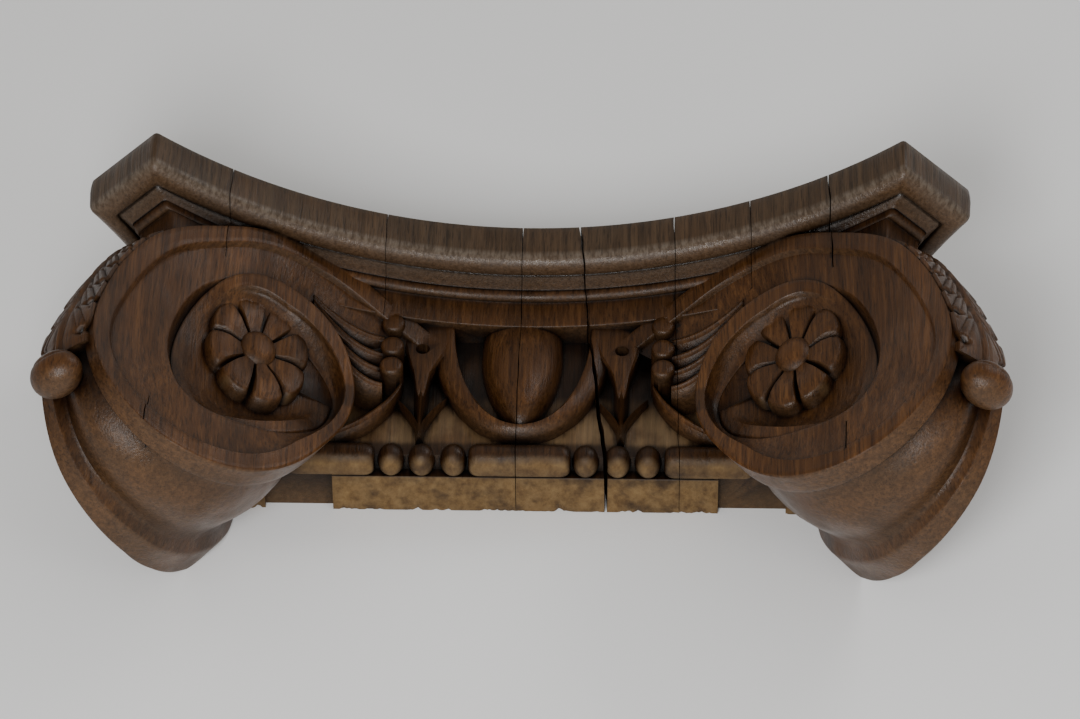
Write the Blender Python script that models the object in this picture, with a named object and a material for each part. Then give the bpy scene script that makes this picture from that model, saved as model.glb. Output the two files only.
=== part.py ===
"""Carved oak capital with two angled scrolls, for the top of a pilaster.

Metres, +Z up. The capital lies on its flat back: its carved front looks up, and its
top looks along +Y. It is modelled upright, front along -Y and the top of its slab at
height zero, and laid down as the last step.
"""
import math

import bmesh
import bpy
import numpy as np

# Top slab (abacus)
SLAB_HALF = 0.2646          # half the width between the two front points
SLAB_CHAMFER = 0.0490       # how far each corner is cut, along X and along Y
SLAB_HOLLOW = 0.0900        # how far the middle of the front lies behind its ends
SLAB_FACE = 0.0255          # height of the slab's plain outer face
SLAB_ROLL = 0.0100          # radius of the quarter round under it
SLAB_DROP = 0.0640          # height of the whole slab with its mouldings
SLAB_INSET = 0.0375         # how far the mouldings step back under it
SLAB_CORNER_FADE = 0.35     # share of that which is lost at the corners
SLAB_CORNER_BACK = 0.70     # share by which the corners themselves step back
DEPTH = 0.1900              # from the front points to the flat back

# Block below the slab
WALL_Y = 0.1435             # front of the block
BED_Z = -0.1870             # its sawn underside
BED_HALF = 0.2170           # half its width
BED_STEP_Y = 0.1560         # front edge of the sawn underside
NOTCH_WIDE = 0.0480
NOTCH_HIGH = 0.0060
NOTCH_X = 0.1600

# Scrolls
EYE_X = 0.1897              # middle of the rosette, from the middle of the capital
EYE_Z = -0.1600             # and its height under the top
FACE_BACK = 0.0105          # how far the scroll's face lies behind the slab's edge
RIM_WIDE = 0.0160           # flat strip along the spiral
RIM_STEP = 0.0025
TURN_STEPS = 28             # facets in one turn
START_ANGLE = -57.0         # from straight up, toward the corner
END_ANGLE = 615.0
# Radius of the rim's outer edge at some angles from straight up, turning outward.
RIM_RADII = (
    (-90.0, 0.178), (-57.0, 0.1560), (-45.0, 0.1465), (-25.0, 0.1395), (-8.0, 0.128),
    (20.0, 0.1120), (45.0, 0.1080), (70.0, 0.1085), (90.0, 0.1160), (122.0, 0.1410),
    (153.0, 0.1450), (180.0, 0.1330), (222.0, 0.0930), (264.0, 0.0765), (308.0, 0.0735),
    (330.0, 0.0745), (360.0, 0.0750), (390.0, 0.0650), (420.0, 0.0600), (450.0, 0.0620),
    (480.0, 0.0715), (510.0, 0.0850), (540.0, 0.0790), (560.0, 0.0740), (600.0, 0.0640),
    (700.0, 0.0480), (960.0, 0.0300),
)
# How far the rim stands forward of the scroll's face at some angles.
RIM_LIFTS = (
    (-90.0, -0.0500), (-57.0, -0.0340), (-45.0, -0.0275), (-25.0, -0.0170), (-8.0, -0.0040),
    (20.0, 0.0), (90.0, 0.0), (122.0, 0.0060), (150.0, 0.0170), (180.0, 0.0170),
    (205.0, 0.0120), (230.0, 0.0030), (264.0, -0.0030), (308.0, 0.0010), (356.0, 0.0010),
    (380.0, -0.0040), (400.0, -0.0120), (420.0, -0.0180), (440.0, -0.0210),
    (470.0, -0.0190), (500.0, -0.0110), (520.0, -0.0050), (540.0, -0.0010),
    (560.0, -0.0020), (575.0, -0.0070), (590.0, -0.0150), (600.0, -0.0185),
    (615.0, -0.0225), (960.0, -0.0225),
)
# How deep the channel lies behind the rim at its inner side at some angles.
HOLLOWS = (
    (-90.0, 0.0140), (-45.0, 0.0140), (-20.0, 0.0120), (0.0, 0.0070), (30.0, 0.0070),
    (90.0, 0.0080), (150.0, 0.0100), (180.0, 0.0105), (200.0, 0.0140), (250.0, 0.0210),
    (300.0, 0.0240), (356.0, 0.0230), (400.0, 0.0100), (420.0, 0.0045),
    (440.0, 0.0018), (470.0, 0.0038), (500.0, 0.0118), (520.0, 0.0178), (540.0, 0.0215),
    (560.0, 0.0208), (575.0, 0.0158), (590.0, 0.0078), (600.0, 0.0042), (615.0, 0.0010),
    (960.0, 0.0010),
)
# How much further out the rim runs on the outer face, near the back.
SIDE_SWELL = (
    (-90.0, 0.0), (180.0, 0.0), (195.0, 0.0050), (210.0, 0.0130), (222.0, 0.0180),
    (240.0, 0.0200), (264.0, 0.0150), (300.0, 0.0), (960.0, 0.0),
)
BAND_ROWS = 8
BAND_EDGE = 0.17            # share of the band taken by each flat edge
BAND_GROOVE = 0.0080
BAND_ROLL = 0.0020

# Rosettes in the eyes
ROSE_Z = -0.1465            # middle of the rosette under the top
ROSE_BACK = 0.0200          # how far its base lies behind the scroll's face
ROSE_WIDE = 0.0385
ROSE_HIGH = 0.0505
ROSE_RISE = 0.0120
ROSE_BUTTON = 0.0135
PETALS = 8

# Leaf on the outer edge of the band
LEAF_SHARE = 0.46           # half its width, as a share of the band
LEAF_THICK = 0.0045
LEAF_ANGLES = (40.0, 118.0)
KNOB_RADIUS = 0.0185        # its curled tip
KNOB_ANGLE = 124.0
KNOB_OUT = 0.0140

# Egg, shells and darts on the block
EGG_WIDE = 0.0288           # half its width
EGG_RISE = 0.0225
EGG_LOW = -0.1505           # its lower tip
SHELL_OUT = 0.0655
SHELL_IN = 0.0485
SHELL_LOW = -0.1670
SHELL_THIN = 0.0110         # width of the shell's strip at its lowest point
SHELL_Z = -0.0620
SHELL_RISE = 0.0155
DART_X = 0.0710
DART_RISE = 0.0140
HUSK_X = 0.0963
HUSK_Y = 0.1200
HUSK_HEIGHTS = (-0.0700, -0.0930, -0.1130)
HUSK_RADIUS = 0.0085

# Row of beads under them
BEAD_Y = 0.1485
BEAD_Z = -0.1770
BEAD_X = (0.0465, 0.0690, 0.0905)
BEAD_WIDE = 0.0088
BEAD_HIGH = 0.0115
REEL_HALF = 0.0360
SIDE_REEL_IN = 0.1020
SIDE_REEL_OUT = 0.1650

# The open joint through the front, and the two dowel holes
CRACK_X = 0.0475
CRACK_WIDE = 0.0030
CRACK_SLOPE = 0.1100
HOLE_RADIUS = 0.0050
HOLE_X = 0.0710
HOLE_Z = -0.0680
HOLE_DEEP = 0.0120

CARVING_SHIFT = -0.0040     # the egg and its row sit a little left of the middle
SINK = 0.0060               # how far applied carving reaches into what carries it


def curve_at(table, x):
    """A smooth curve through a few named points."""
    xs = np.array([row[0] for row in table])
    ys = np.array([row[1] for row in table])
    slopes = np.gradient(ys, xs)
    i = int(np.clip(np.searchsorted(xs, x) - 1, 0, len(xs) - 2))
    span = xs[i + 1] - xs[i]
    t = (x - xs[i]) / span
    a = 2 * t ** 3 - 3 * t ** 2 + 1
    b = t ** 3 - 2 * t ** 2 + t
    c = -2 * t ** 3 + 3 * t ** 2
    d = t ** 3 - t ** 2
    return float(a * ys[i] + b * span * slopes[i] + c * ys[i + 1] + d * span * slopes[i + 1])


def smooth(a, b, x):
    t = min(max((x - a) / (b - a), 0.0), 1.0)
    return t * t * (3 - 2 * t)


def arc_radius():
    return (SLAB_HALF ** 2 + SLAB_HOLLOW ** 2) / (2 * SLAB_HOLLOW)


def front_y(x, inset=0.0):
    """Y of the slab's hollow front at x."""
    radius = arc_radius()
    centre = SLAB_HOLLOW - radius
    return centre + math.sqrt(max((radius + inset) ** 2 - x * x, 0.0))


def to_side(x, y):
    """Mirror a point of the right front in the upright plane through the corner."""
    mid_x = SLAB_HALF + SLAB_CHAMFER / 2
    mid_y = SLAB_CHAMFER / 2
    return mid_x - (y - mid_y), mid_y - (x - mid_x)


def make_object(name, verts, faces):
    mesh = bpy.data.meshes.new(name)
    mesh.from_pydata([tuple(v) for v in verts], [], faces)
    bm = bmesh.new()
    bm.from_mesh(mesh)
    bmesh.ops.remove_doubles(bm, verts=bm.verts, dist=1e-6)
    bmesh.ops.recalc_face_normals(bm, faces=bm.faces)
    if bm.calc_volume(signed=True) < 0:
        bmesh.ops.reverse_faces(bm, faces=bm.faces)
    bm.to_mesh(mesh)
    bm.free()
    obj = bpy.data.objects.new(name, mesh)
    bpy.context.collection.objects.link(obj)
    return obj


def loft(name, rings):
    """A closed solid through rings with the same number of points."""
    count = len(rings[0])
    verts = [p for ring in rings for p in ring]
    faces = []
    for r in range(len(rings) - 1):
        for i in range(count):
            j = (i + 1) % count
            faces.append((r * count + i, r * count + j, (r + 1) * count + j, (r + 1) * count + i))
    faces.append(tuple(range(count))[::-1])
    last = (len(rings) - 1) * count
    faces.append(tuple(last + i for i in range(count)))
    return make_object(name, verts, faces)


def ellipsoid(name, centre, radii, around=12, rows=6, axes=None):
    rings = []
    for r in range(1, rows):
        phi = math.pi * r / rows
        ring = []
        for i in range(around):
            a = 2 * math.pi * i / around
            ring.append((math.sin(phi) * math.cos(a), math.sin(phi) * math.sin(a), math.cos(phi)))
        rings.append(ring)
    verts = [(0, 0, 1)] + [p for ring in rings for p in ring] + [(0, 0, -1)]
    faces = []
    for i in range(around):
        j = (i + 1) % around
        faces.append((0, 1 + i, 1 + j))
        for r in range(len(rings) - 1):
            a = 1 + r * around
            faces.append((a + i, a + around + i, a + around + j, a + j))
        a = 1 + (len(rings) - 1) * around
        faces.append((a + i, len(verts) - 1, a + j))
    if axes is None:
        axes = np.eye(3)
    pts = np.array(verts) * np.array(radii)
    pts = pts @ np.array(axes) + np.array(centre)
    return make_object(name, pts, faces)


def box(name, low, high):
    (x0, y0, z0), (x1, y1, z1) = low, high
    ring = [(x0, y0), (x1, y0), (x1, y1), (x0, y1)]
    return loft(name, [[(x, y, z0) for x, y in ring], [(x, y, z1) for x, y in ring]])


# Slab


def slab_edge(share, inset):
    """A point of the slab's hollow front, moved back under it by inset.

    The deep mouldings step back less at the corners, so that the cut corners stay open.
    """
    x = share * (SLAB_HALF - SLAB_CORNER_BACK * inset)
    near = smooth(0.55, 1.0, abs(share))
    fade = SLAB_CORNER_FADE * smooth(0.35, 1.0, inset / SLAB_INSET)
    move = inset * (1.0 - fade * near)
    lean = math.asin(x / arc_radius())
    return x + move * math.sin(lean), front_y(x) + move * math.cos(lean)


def slab_outline(inset, z):
    """One ring of the slab: hollow front, cut corners, hollow sides, straight back."""
    front = [slab_edge(share, inset) for share in np.linspace(-1.0, 1.0, 21)]
    side = [to_side(*slab_edge(share, inset)) for share in np.linspace(1.0, 0.1, 24)]
    ys = np.array([p[1] for p in side])
    xs = np.array([p[0] for p in side])
    rows = []
    for y in np.linspace(ys[0], DEPTH + SINK, 7):
        rows.append((float(np.interp(y, ys, xs)), float(y)))
    right = front + rows
    left = [(-x, y) for x, y in rows[::-1]]
    return [(x, y, z) for x, y in right + left]


def slab_profile():
    """Steps back and down under the slab: face, quarter round, fillet, bead, fascia."""
    face = SLAB_FACE
    roll = SLAB_ROLL
    inset = SLAB_INSET
    drop = SLAB_DROP
    return (
        (0.0010, 0.0), (0.0, -0.0010), (-0.0006, -0.5 * face), (0.0, -face),
        (0.29 * roll, -face - 0.71 * roll), (roll, -face - roll),
        (1.45 * roll, -face - 0.95 * roll), (1.55 * roll, -face - 0.75 * roll),
        (0.71 * inset, -0.578 * drop), (0.735 * inset, -0.602 * drop),
        (0.79 * inset, -0.65 * drop), (0.92 * inset, -0.668 * drop),
        (0.935 * inset, -0.69 * drop), (inset, -drop),
    )


def make_slab():
    return loft("slab", [slab_outline(inset, z) for inset, z in slab_profile()])


# Scrolls


def face_point(angle, radius, deep):
    """A point of the right scroll's front face; deep counts back from the rim."""
    a = math.radians(angle)
    along = radius * math.sin(a)
    arc = arc_radius()
    x = arc * math.sin(math.asin(EYE_X / arc) + along / arc)
    y = front_y(x) + FACE_BACK - curve_at(RIM_LIFTS, angle) + deep
    z = EYE_Z + radius * math.cos(a)
    return x, y, z


def rim_row(angle, swell=0.0):
    """One row across the spiral, from the rim's outer edge to the next turn."""
    outer = curve_at(RIM_RADII, angle)
    inner = min(curve_at(RIM_RADII, angle + 360.0) + 0.0008, outer - 0.012)
    outer = outer + swell
    fade = smooth(360.0, 400.0, angle)
    width = min(RIM_WIDE * (1 - 0.45 * smooth(200.0, 380.0, angle)), 0.45 * (outer - inner))
    rest = outer - width - inner
    deep = curve_at(HOLLOWS, angle)
    step = min(RIM_STEP, 0.5 * deep) * (1 - fade)
    near = 0.45 + 0.35 * smooth(210.0, 270.0, angle)
    rows = (
        (outer, 0.0), (outer - width, 0.0), (outer - width - 0.0012, step),
        (outer - width - 0.40 * rest, step + near * (deep - step)),
        (outer - width - 0.75 * rest, step + 0.92 * (deep - step)),
        (inner, deep),
    )
    return [face_point(angle, r, d) for r, d in rows]


def band_depth(s):
    edge = BAND_EDGE
    table = (
        (0.0, 0.0), (edge, 0.0), (edge + 0.03, BAND_GROOVE), (edge + 0.12, BAND_GROOVE),
        (0.5, BAND_ROLL), (1.0 - edge - 0.12, BAND_GROOVE), (1.0 - edge - 0.03, BAND_GROOVE),
        (1.0 - edge, 0.0), (1.0, 0.0),
    )
    return float(np.interp(s, [row[0] for row in table], [row[1] for row in table]))


def band_shares():
    edge = BAND_EDGE
    inner = np.linspace(edge + 0.12, 1.0 - edge - 0.12, BAND_ROWS - 5)
    return [0.0, edge, edge + 0.03] + list(inner) + [1.0 - edge - 0.03, 1.0 - edge, 1.0]


def make_scroll(sign):
    """Both spirals of one corner and the grooved band between them."""
    step = 360.0 / TURN_STEPS
    total = int(round((END_ANGLE - START_ANGLE) / step))
    angles = [START_ANGLE + i * step for i in range(total + 1)]
    rows = [rim_row(angle) for angle in angles]
    outer_rows = [rim_row(angle, float(np.interp(angle, *zip(*SIDE_SWELL)))) for angle in angles]
    wide = len(rows[0])
    last = wide - 1
    middle = face_point(END_ANGLE, 0.0, 0.0)
    verts = [p for row in rows for p in row] + [middle]
    outer_verts = [p for row in outer_rows for p in row] + [middle]
    size = len(verts)

    def at(i, j):
        return i * wide + j

    faces = []
    for i in range(total):
        for j in range(last):
            faces.append((at(i, j), at(i + 1, j), at(i + 1, j + 1), at(i, j + 1)))
        if i + TURN_STEPS < total:
            k = i + TURN_STEPS
            faces.append((at(i, last), at(i + 1, last), at(k + 1, 0), at(k, 0)))
    hole = [at(i, last) for i in range(total - TURN_STEPS, total + 1)]
    hole += [at(total, j) for j in range(last - 1, -1, -1)]
    for a, b in zip(hole, hole[1:] + hole[:1]):
        faces.append((a, b, size - 1))
    edge = [at(i, 0) for i in range(TURN_STEPS + 1)]
    edge += [at(0, j) for j in range(last, 0, -1)]
    shown = TURN_STEPS

    front = [np.array(v) for v in verts]
    side = []
    for v in outer_verts:
        x, y = to_side(v[0], v[1])
        side.append(np.array((x, y, v[2])))
    points = front + side
    back_faces = [tuple(size + i for i in face[::-1]) for face in faces]
    all_faces = faces + back_faces
    out_x, out_y = math.sqrt(0.5), -math.sqrt(0.5)
    shares = band_shares()
    loops = [edge]
    for s in shares[1:-1]:
        loop = []
        for n, index in enumerate(edge):
            p = front[index] * (1 - s) + side[index] * s
            if 0 < n < shown:
                angle = math.radians(START_ANGLE + n * step)
                fade = min(n, shown - n, 4) / 4.0
                deep = band_depth(s) * fade
                p = p - deep * np.array((
                    math.sin(angle) * out_x, math.sin(angle) * out_y, math.cos(angle)))
            loop.append(len(points))
            points.append(p)
        loops.append(loop)
    loops.append([size + i for i in edge])
    count = len(edge)
    for a, b in zip(loops, loops[1:]):
        for i in range(count):
            j = (i + 1) % count
            all_faces.append((a[i], b[i], b[j], a[j]))
    points = [(sign * p[0], p[1], p[2]) for p in points]
    return make_object("scroll", points, all_faces)


def eye_frame(side_face):
    """Middle of the rosette's base, with its along and outward directions."""
    x = EYE_X
    y = front_y(x) + FACE_BACK + ROSE_BACK
    slope = -x / math.sqrt(arc_radius() ** 2 - x * x)
    along = np.array((1.0, slope, 0.0)) / math.hypot(1.0, slope)
    out = np.array((along[1], -along[0], 0.0))
    centre = np.array((x, y, ROSE_Z))
    if side_face:
        cx, cy = to_side(centre[0], centre[1])
        centre = np.array((cx, cy, ROSE_Z))
        along = np.array((-along[1], -along[0], 0.0))
        out = np.array((-out[1], -out[0], 0.0))
    return centre, along, out


def make_petal(base, along, out, n, flip):
    """One petal: a wedge with a round end and a domed top."""
    up = np.array((0.0, 0.0, 1.0))
    half = 0.46 / PETALS
    rings = []
    for r, spread, high in ((0.20, 0.92, 0.55), (0.60, 1.0, 1.0), (0.88, 0.94, 0.85),
                            (1.0, 0.62, 0.35)):
        ring = []
        for u, h in ((-1.0, -0.5), (-1.0, 0.55 * high), (0.0, high), (1.0, 0.55 * high), (1.0, -0.5)):
            a = 2 * math.pi * ((n + 0.35) / PETALS + u * half * spread)
            p = base + along * (math.sin(a) * r * ROSE_WIDE) + up * (math.cos(a) * r * ROSE_HIGH)
            ring.append((p + out * (h * ROSE_RISE)) * flip)
        rings.append(ring)
    return loft("petal", rings)


def make_rosette(sign, side_face):
    base, along, out = eye_frame(side_face)
    up = np.array((0.0, 0.0, 1.0))
    flip = np.array((sign, 1.0, 1.0))
    axes = np.array((along, up, out)) * flip
    parts = [ellipsoid(
        "rose_disc", base * flip,
        (ROSE_WIDE * 0.93, ROSE_HIGH * 0.93, ROSE_RISE * 0.5), 12, 4, axes)]
    for n in range(PETALS):
        parts.append(make_petal(base, along, out, n, flip))
    parts.append(ellipsoid(
        "button", (base + out * ROSE_RISE * 0.55) * flip,
        (ROSE_BUTTON, ROSE_BUTTON * 1.15, ROSE_RISE * 0.75), 10, 6, axes))
    return parts


def band_point(angle, share, high):
    """Point over the band between the two spirals of a corner; share runs across it."""
    x, y, z = face_point(angle, curve_at(RIM_RADII, angle), 0.0)
    sx, sy = to_side(x, y)
    a = math.radians(angle)
    half = math.sqrt(0.5)
    normal = np.array((half * math.sin(a), -half * math.sin(a), math.cos(a)))
    p = np.array((x + (sx - x) * share, y + (sy - y) * share, z))
    return p + normal * high


def make_leaf(sign):
    """Leaf that runs down the band from under the slab to its curled tip."""
    rings = []
    rows = 13
    for r in range(rows):
        t = r / (rows - 1)
        angle = LEAF_ANGLES[0] + t * (LEAF_ANGLES[1] - LEAF_ANGLES[0])
        lobes = 0.90 + 0.10 * abs(math.cos(t * math.pi * 4.0))
        half = LEAF_SHARE * lobes * (0.80 + 0.20 * smooth(0.0, 0.3, t) - 0.15 * smooth(0.85, 1.0, t))
        thick = LEAF_THICK * (1.0 + 0.9 * smooth(0.6, 1.0, t))
        ring = []
        for u, v in ((-1.0, 0.35), (-0.5, 0.85), (0.0, 1.0), (0.5, 0.85), (1.0, 0.35)):
            ring.append(band_point(angle, 0.5 + u * half, thick * v))
        for u in (1.0, 0.0, -1.0):
            ring.append(band_point(angle, 0.5 + u * half * 0.96, -0.0120))
        rings.append([(sign * q[0], q[1], q[2]) for q in ring])
    return loft("leaf", rings)


def make_knob(sign):
    out = np.array((math.sqrt(0.5), -math.sqrt(0.5), 0.0))
    across = np.array((math.sqrt(0.5), math.sqrt(0.5), 0.0))
    up = np.array((0.0, 0.0, 1.0))
    flip = np.array((sign, 1.0, 1.0))
    centre = band_point(KNOB_ANGLE, 0.5, KNOB_OUT)
    return ellipsoid(
        "knob", centre * flip, (KNOB_RADIUS, KNOB_RADIUS * 1.25, KNOB_RADIUS * 0.95), 12, 6,
        np.array((out, across, up)) * flip)


# Block and its carving


def make_block():
    """Block behind the egg, with its sawn underside and a step behind the beads."""
    top = -SLAB_FACE
    outline = (
        (WALL_Y, top), (WALL_Y, BEAD_Z), (BED_STEP_Y, BEAD_Z - 0.002),
        (BED_STEP_Y, BED_Z), (DEPTH + SINK, BED_Z), (DEPTH + SINK, top),
    )
    rings = []
    for x in (-BED_HALF, BED_HALF):
        rings.append([(x, y, z) for y, z in outline])
    return loft("block", rings)


def half_ring(centre_x, steps):
    """Curved strip of the shell that hangs around the egg, on the block's front."""
    rings = []
    tall_out = SHELL_Z - SHELL_LOW
    tall_in = tall_out - SHELL_THIN
    for n in range(steps + 1):
        a = math.pi * (1.0 + n / steps)
        xo = centre_x + SHELL_OUT * math.cos(a)
        zo = SHELL_Z + tall_out * math.sin(a)
        xi = centre_x + SHELL_IN * math.cos(a)
        zi = SHELL_Z + tall_in * math.sin(a)
        xm, zm = 0.6 * xo + 0.4 * xi, 0.6 * zo + 0.4 * zi
        rings.append([
            (xo, WALL_Y + SINK, zo), (xo, WALL_Y - 0.6 * SHELL_RISE, zo),
            (xm, WALL_Y - SHELL_RISE, zm), (xi, WALL_Y - 0.85 * SHELL_RISE, zi),
            (xi, WALL_Y + SINK, zi),
        ])
    return loft("shell", rings)


def make_egg():
    """Egg, cut off flat where it meets the slab's underside."""
    top = -SLAB_DROP + 0.0060
    rings = []
    for t, wide, rise in ((0.0, 0.98, 0.66), (0.18, 1.0, 0.82), (0.38, 0.99, 0.95),
                          (0.56, 0.88, 1.0), (0.72, 0.70, 0.93), (0.85, 0.48, 0.78),
                          (0.94, 0.27, 0.55), (1.0, 0.08, 0.25)):
        z = top + (EGG_LOW - top) * t
        ring = []
        for i in range(9):
            a = math.pi * i / 8
            x = CARVING_SHIFT + EGG_WIDE * wide * math.cos(a)
            ring.append((x, WALL_Y - EGG_RISE * rise * math.sin(a) ** 0.9, z))
        ring.append((CARVING_SHIFT - EGG_WIDE * wide, WALL_Y + SINK, z))
        ring.append((CARVING_SHIFT + EGG_WIDE * wide, WALL_Y + SINK, z))
        rings.append(ring)
    return loft("egg", rings)


def make_dart(sign):
    """Arrow between the shells: a ridge with two barbs."""
    x = sign * DART_X + CARVING_SHIFT
    top, low = HOLE_Z - 0.006, BEAD_Z + 0.010
    parts = []
    rings = []
    for z, wide, rise in ((top, 0.0050, 0.6), (top - 0.020, 0.0060, 1.0), (low, 0.0030, 0.9)):
        rings.append([
            (x - wide, WALL_Y + SINK, z), (x - wide * 0.7, WALL_Y - 0.3 * DART_RISE * rise, z),
            (x, WALL_Y - DART_RISE * rise, z), (x + wide * 0.7, WALL_Y - 0.3 * DART_RISE * rise, z),
            (x + wide, WALL_Y + SINK, z),
        ])
    parts.append(loft("dart", rings))
    for side in (-1, 1):
        rings = []
        for t in (0.0, 0.5, 1.0):
            px = x + side * 0.017 * t
            pz = low + 0.004 + 0.036 * t ** 0.7
            half = 0.0050 * (1.0 - 0.55 * t)
            rise = DART_RISE * (0.75 - 0.3 * t)
            rings.append([
                (px, WALL_Y + SINK, pz - half), (px, WALL_Y - rise, pz - half * 0.3),
                (px, WALL_Y - rise, pz + half * 0.3), (px, WALL_Y + SINK, pz + half),
            ])
        parts.append(loft("barb", rings))
    return parts


def make_strip(name, start, bend, stop, half, rise, sign, steps=4):
    """Curved ridge over three points, tapering toward both ends."""
    rings = []
    for k in range(steps + 1):
        t = k / steps
        p = [(1 - t) ** 2 * a + 2 * t * (1 - t) * b + t * t * c
             for a, b, c in zip(start, bend, stop)]
        wide = half * (0.45 + 0.55 * math.sin(math.pi * (0.12 + 0.76 * t)))
        x, y, z = p
        rings.append([
            (sign * x, y + 0.030, z - wide), (sign * x, y + 0.4 * rise, z - wide),
            (sign * x, y - rise * 0.4, z), (sign * x, y + 0.4 * rise, z + wide),
            (sign * x, y + 0.030, z + wide),
        ])
    return loft(name, rings)


def make_husk(sign):
    """Little discs, the leaf fingers behind them and the edge of the next shell."""
    parts = []
    x = HUSK_X
    y = HUSK_Y
    for z in HUSK_HEIGHTS:
        parts.append(ellipsoid(
            "disc", (sign * x, y + 0.004, z),
            (HUSK_RADIUS, 0.0100, HUSK_RADIUS * 1.15), 8, 4))
    z = HUSK_HEIGHTS[0]
    for drop, far in ((0.012, 0.0), (0.034, 0.006), (0.056, 0.014)):
        parts.append(make_strip(
            "finger", (x + 0.006, y + 0.006, z - drop), (x + 0.030, y - 0.004, z - drop - 0.004),
            (x + 0.056, y - 0.020, z + 0.004 - far), 0.0080, 0.0090, sign))
    parts.append(make_strip(
        "next_shell", (0.0890, WALL_Y - 0.0100, -0.1170), (0.0990, WALL_Y - 0.0100, -0.1480),
        (0.1340, WALL_Y - 0.0080, -0.1650), 0.0070, 0.0080, sign))
    return parts


def bead_row():
    parts = []
    for sign in (-1, 1):
        for x in BEAD_X:
            parts.append(ellipsoid(
                "bead", (sign * x + CARVING_SHIFT, BEAD_Y, BEAD_Z),
                (BEAD_WIDE, BEAD_HIGH, BEAD_HIGH), 8, 6))
    spans = ((-REEL_HALF, REEL_HALF), (SIDE_REEL_IN, SIDE_REEL_OUT),
             (-SIDE_REEL_OUT, -SIDE_REEL_IN))
    for x0, x1 in spans:
        rings = []
        for t in (0.0, 0.06, 0.2, 0.8, 0.94, 1.0):
            r = BEAD_HIGH * (0.70 + 0.30 * min(1.0, 7.0 * min(t, 1.0 - t)) ** 0.6)
            ring = []
            for i in range(10):
                a = 2 * math.pi * i / 10
                ring.append((x0 + (x1 - x0) * t, BEAD_Y + r * math.cos(a), BEAD_Z + r * math.sin(a)))
            rings.append(ring)
        parts.append(loft("reel", rings))
    return parts


# Put together


def join_all(objects):
    """Boolean union of all the objects into the first one."""
    base = objects[0]
    for other in objects[1:]:
        apply_boolean(base, other, "UNION")
    return base


def apply_boolean(base, other, operation):
    mod = base.modifiers.new(operation.lower(), "BOOLEAN")
    mod.operation = operation
    mod.solver = "MANIFOLD"    # the exact one leaves slits where the scrolls meet the block
    mod.object = other
    depsgraph = bpy.context.evaluated_depsgraph_get()
    mesh = bpy.data.meshes.new_from_object(base.evaluated_get(depsgraph))
    base.modifiers.clear()
    base.data = mesh
    bpy.data.objects.remove(other, do_unlink=True)


def fill_pockets(obj):
    """Fill the closed pockets left between overlapping shapes."""
    bm = bmesh.new()
    bm.from_mesh(obj.data)
    bm.verts.ensure_lookup_table()
    seen = set()
    shells = []
    for start in bm.verts:
        if start.index in seen:
            continue
        seen.add(start.index)
        shell = [start]
        for vert in shell:
            for edge in vert.link_edges:
                other = edge.other_vert(vert)
                if other.index not in seen:
                    seen.add(other.index)
                    shell.append(other)
        shells.append(shell)
    shells.sort(key=len)
    for shell in shells[:-1]:
        bmesh.ops.delete(bm, geom=shell, context="VERTS")
    bm.to_mesh(obj.data)
    bm.free()


def cutters():
    parts = [box("behind", (-1.0, DEPTH, -1.0), (1.0, DEPTH + 1.0, 1.0))]
    for sign in (-1, 1):
        x = sign * NOTCH_X
        parts.append(box(
            "notch", (x - NOTCH_WIDE / 2, BED_STEP_Y - 0.002, BED_Z - 0.01),
            (x + NOTCH_WIDE / 2, DEPTH + 0.01, BED_Z + NOTCH_HIGH)))
        rings = []
        for y in (WALL_Y - 0.03, WALL_Y + HOLE_DEEP):
            rings.append([
                (sign * HOLE_X + CARVING_SHIFT + HOLE_RADIUS * math.cos(math.pi * i / 5), y,
                 HOLE_Z + HOLE_RADIUS * math.sin(math.pi * i / 5)) for i in range(10)])
        parts.append(loft("hole", rings))
    rings = []
    for z in (-0.20, -SLAB_DROP - 0.002):
        x = CRACK_X - CRACK_SLOPE * (z + 0.1)
        half = CRACK_WIDE / 2
        rings.append([
            (x - half, 0.10, z), (x + half, 0.10, z),
            (x + half, DEPTH + 0.01, z), (x - half, DEPTH + 0.01, z)])
    parts.append(loft("crack", rings))
    return parts


def lay_down(capital):
    """Lay the capital on its flat back: its front looks up, its top away from the viewer."""
    heights = [v.co.z for v in capital.data.vertices]
    middle = (max(heights) + min(heights)) / 2
    for v in capital.data.vertices:
        v.co = (v.co.x, v.co.z - middle, DEPTH - v.co.y)


def make_material():
    mat = bpy.data.materials.new("oak")
    mat.use_nodes = True
    shader = mat.node_tree.nodes["Principled BSDF"]
    shader.inputs["Base Color"].default_value = (0.105, 0.058, 0.031, 1.0)
    shader.inputs["Roughness"].default_value = 0.5
    shader.inputs["Metallic"].default_value = 0.0
    return mat


def main():
    for obj in list(bpy.data.objects):
        bpy.data.objects.remove(obj, do_unlink=True)
    parts = [make_slab(), make_block()]
    for sign in (-1, 1):
        parts.append(make_scroll(sign))
    for sign in (-1, 1):
        for side_face in (False, True):
            parts += make_rosette(sign, side_face)
        parts.append(make_leaf(sign))
        parts.append(make_knob(sign))
        parts += make_dart(sign)
        parts += make_husk(sign)
    parts.append(make_egg())
    parts.append(half_ring(CARVING_SHIFT, 18))
    parts += bead_row()
    capital = join_all(parts)
    fill_pockets(capital)
    for cutter in cutters():
        apply_boolean(capital, cutter, "DIFFERENCE")
    fill_pockets(capital)
    capital.name = "ionic_capital"
    capital.data.name = "ionic_capital"
    lay_down(capital)
    capital.data.materials.clear()
    capital.data.materials.append(make_material())


main()
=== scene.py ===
import math
import random

import bmesh
import bpy
import numpy as np
from mathutils import Matrix, Vector, noise
from mathutils.bvhtree import BVHTree


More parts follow.
